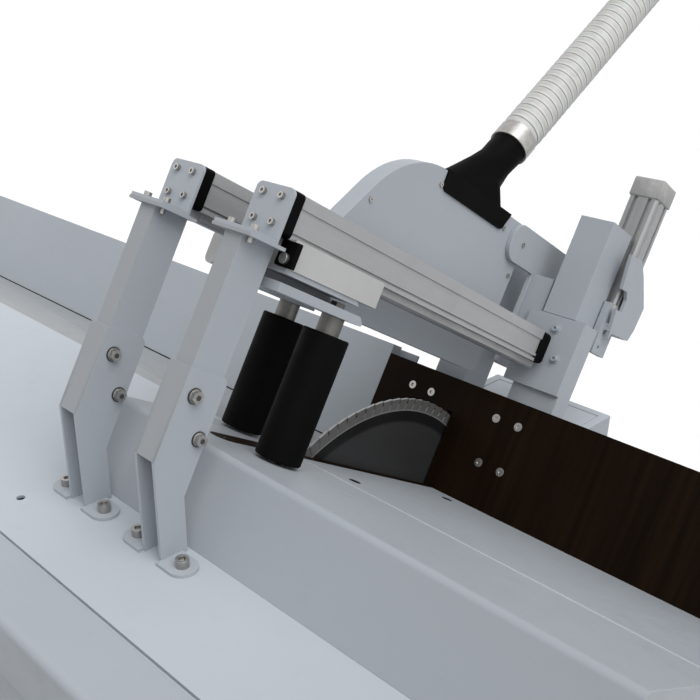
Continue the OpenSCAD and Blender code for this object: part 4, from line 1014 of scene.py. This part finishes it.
def toothed_plate(name, plate, ground):
    """Saw plate in XY: its sides in the first material, its ground gullets in the second."""
    teeth = sizes().teeth
    shape = bmesh.new()

    def pair(turn, r):
        a = 2 * math.pi * turn / teeth
        return [shape.verts.new((r * math.cos(a), r * math.sin(a), z))
                for z in (-PLATE_THICK / 2, PLATE_THICK / 2)]

    rim = [[pair(k + turn, BLADE_RADIUS - drop) for turn, drop in TOOTH] for k in range(teeth)]
    root, hole = ([pair(k + ROOT_TURN, r) for k in range(teeth)]
                  for r in (BLADE_RADIUS - ROOT_DROP, BORE_RADIUS))
    for k in range(teeth):
        n = (k + 1) % teeth
        before = rim[k - 1][-1]
        for side in (0, 1):
            for loop in ([before, *rim[k], root[n], root[k]], [root[k], root[n], hole[n], hole[k]]):
                shape.faces.new([corners[side] for corners in loop])
        for a, b in zip([before, *rim[k]], rim[k]):
            shape.faces.new((a[0], b[0], b[1], a[1])).material_index = 1
        shape.faces.new((hole[k][0], hole[n][0], hole[n][1], hole[k][1]))
    mesh = mesh_from(shape, name)
    mesh.materials.append(plate)
    mesh.materials.append(ground)
    return mesh


class CRS_OT_blade(bpy.types.Operator):
    """Saw blade with carbide tips, its arbor and flanges"""
    bl_idname = "crs.blade"
    bl_label = "Saw blade"

    def execute(self, context):
        dressed("arbor_shaft", zinc(), ROD_EDGE)
        place = (HEAD_MATRIX @ Matrix.Translation(BLADE_CENTRE)
                 @ Matrix.Rotation(math.pi / 2, 4, "Y"))
        body = BODY_OF_NODE["saw_blade"]
        gullets = plated_steel("ground gullets", (0.42, 0.42, 0.415), 0.40, 0.2)
        plate = toothed_plate("saw_blade_toothed", blade_steel("blade steel"), gullets)
        plate.transform(place)
        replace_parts(new_piece("saw_blade_toothed", plate, body), "saw_blade")
        carbide = plated_steel("carbide", (0.20, 0.20, 0.205), 0.28)
        ringed("carbide_tips", rounded_box("carbide_tip", *TIP, 0.0003), sizes().teeth, TIP_CIRCLE,
               place, body, carbide)
        return {"FINISHED"}


class CRS_OT_drive(bpy.types.Operator):
    """Saw plate, guides, arbor housing, motor, belt and stroke cylinder"""
    bl_idname = "crs.drive"
    bl_label = "Drive"

    def execute(self, context):
        edge = sizes().edge
        dressed("saw_guides", zinc(), SCREW_EDGE)
        dressed("saw_plate", powder_coat("dark paint", (0.050, 0.053, 0.058), 0.5), edge)
        dressed("arbor_housing", powder(), edge)
        dressed("motor", powder_coat("motor paint", (0.10, 0.12, 0.135)), edge)
        dressed("motor_shaft", zinc(), SHAFT_EDGE)
        dressed("drive_belt", moulded("belt rubber", (0.008, 0.008, 0.008), 0.7), edge)
        dressed("stroke_cylinder", satin(), edge)
        dressed("stroke_rod", zinc(), SHAFT_EDGE)
        return {"FINISHED"}


# The photo's camera: place, directions, lens for a 36 mm sensor, and the picture's principal
# point in pixels from its upper left corner
CAMERA_PLACE = (1.3808, -0.9123, 1.530)
CAMERA_RIGHT = Vector((0.7046, 0.7094, 0.0136)).normalized()
CAMERA_FORWARD = Vector((-0.6361, 0.6400, -0.4311)).normalized()
CAMERA_LENS = 48.94
PICTURE = 700
PRINCIPAL_POINT = (337.769, 395.675)

# Suns: power, angle over which each is soft, in degrees, and the way it shines
SUNS = (("key_light", 1.75, 50, (-0.48, 0.10, -0.87)),
        ("side_light", 0.42, 70, (-0.96, 0.12, -0.25)))
# A square lamp that shines down on the deck: place, watts and side
DECK_LIGHT = ((-1.05, -0.95, 2.15), 4.0, 0.9)

FLOOR_HALF = 30
FLOOR_SEEN, FLOOR_BOUNCE = (0.98, 0.98, 0.98, 1), (0.45, 0.45, 0.45, 1)
SKY_SEEN, SKY_LIGHT = (1, 1, 1, 1), (0.97, 0.985, 1, 1)
SKY_STRENGTH = 0.54


def seen_directly(tree):
    """1 for a camera, glossy or transmission ray, so that gloss shows the picture's own white."""
    ray = tree.nodes.new("ShaderNodeLightPath")
    found = ray.outputs["Is Camera Ray"]
    for kind in ("Is Glossy Ray", "Is Transmission Ray"):
        either = tree.nodes.new("ShaderNodeMath")
        either.operation = "MAXIMUM"
        tree.links.new(found, either.inputs[0])
        tree.links.new(ray.outputs[kind], either.inputs[1])
        found = either.outputs[0]
    return found


def two_shades(tree, output, shader, lit, seen):
    """Fills a tree with one shade for the light it gives off and another for what is seen."""
    tree.nodes.clear()
    out, mix = tree.nodes.new(output), tree.nodes.new("ShaderNodeMixShader")
    tree.links.new(seen_directly(tree), mix.inputs[0])
    for socket, values in zip(mix.inputs[1:], (lit, seen)):
        made = tree.nodes.new(shader)
        for key, value in values.items():
            made.inputs[key].default_value = value
        tree.links.new(made.outputs[0], socket)
    tree.links.new(mix.outputs[0], out.inputs[0])


def new_object(name, data):
    made = bpy.data.objects.new(name, data)
    bpy.context.scene.collection.objects.link(made)
    return made


class CRS_OT_stage(bpy.types.Operator):
    """Camera at the photo's viewpoint, pale floor and soft plain light"""
    bl_idname = "crs.stage"
    bl_label = "Camera, floor and light"

    def execute(self, context):
        scene = context.scene
        camera = new_object("photo_camera", bpy.data.cameras.new("photo_camera"))
        up = CAMERA_RIGHT.cross(CAMERA_FORWARD).normalized()
        right = CAMERA_FORWARD.cross(up)
        axes = Matrix((right, up, -CAMERA_FORWARD)).transposed()
        camera.matrix_world = Matrix.Translation(CAMERA_PLACE) @ axes.to_4x4()
        camera.data.sensor_width = 36
        camera.data.lens = CAMERA_LENS
        camera.data.shift_x = (PICTURE / 2 - PRINCIPAL_POINT[0]) / PICTURE
        camera.data.shift_y = (PRINCIPAL_POINT[1] - PICTURE / 2) / PICTURE
        camera.data.clip_end = 100
        scene.camera = camera

        half = FLOOR_HALF
        floor_mesh = bpy.data.meshes.new("studio_floor")
        floor_mesh.from_pydata([(-half, -half, 0), (half, -half, 0), (half, half, 0),
                                (-half, half, 0)], [], [(0, 1, 2, 3)])
        floor = new_object("studio_floor", floor_mesh)
        paint = bpy.data.materials.new("studio floor")
        paint.use_nodes = True
        two_shades(paint.node_tree, "ShaderNodeOutputMaterial", "ShaderNodeBsdfDiffuse",
                   {"Color": FLOOR_BOUNCE}, {"Color": FLOOR_SEEN})
        floor_mesh.materials.append(paint)

        scene.world = bpy.data.worlds.new("studio")
        scene.world.use_nodes = True
        two_shades(scene.world.node_tree, "ShaderNodeOutputWorld", "ShaderNodeBackground",
                   {"Color": SKY_LIGHT, "Strength": SKY_STRENGTH}, {"Color": SKY_SEEN})

        for name, energy, angle, way in SUNS:
            lamp = new_object(name, bpy.data.lights.new(name, "SUN"))
            lamp.data.energy = energy
            lamp.data.angle = math.radians(angle)
            lamp.rotation_euler = Vector(way).to_track_quat("-Z", "Y").to_euler()
        lamp = new_object("deck_light", bpy.data.lights.new("deck_light", "AREA"))
        lamp.location, lamp.data.energy, lamp.data.size = DECK_LIGHT
        scene.view_settings.view_transform = "Standard"
        return {"FINISHED"}


OPERATORS = (CRS_OT_stage, CRS_OT_hose, CRS_OT_cabinet, CRS_OT_table, CRS_OT_posts, CRS_OT_beams,
             CRS_OT_carriages, CRS_OT_rollers, CRS_OT_columns, CRS_OT_hood, CRS_OT_blade,
             CRS_OT_drive)


class CRS_PT_panel(bpy.types.Panel):
    """Panel that lists the saw's pieces."""
    bl_label = "Crosscut saw"
    bl_idname = "CRS_PT_panel"
    bl_space_type = "VIEW_3D"
    bl_region_type = "UI"
    bl_category = "Crosscut saw"

    def draw(self, context):
        for group in (context.scene.saw_finish, context.scene.saw_sizes):
            box = self.layout.box()
            for name in group.__annotations__:
                box.prop(group, name)
        for operator in OPERATORS:
            self.layout.operator(operator.bl_idname)


CLASSES = (SawFinish, SawSizes) + OPERATORS + (CRS_PT_panel,)


def register():
    for cls in CLASSES:
        bpy.utils.register_class(cls)
    bpy.types.Scene.saw_finish = PointerProperty(type=SawFinish)
    bpy.types.Scene.saw_sizes = PointerProperty(type=SawSizes)


def unregister():
    del bpy.types.Scene.saw_sizes
    del bpy.types.Scene.saw_finish
    for cls in reversed(CLASSES):
        bpy.utils.unregister_class(cls)


def main():
    register()
    for operator in OPERATORS:
        group, name = operator.bl_idname.split(".")
        getattr(getattr(bpy.ops, group), name)()


if __name__ == "__main__":
    main()
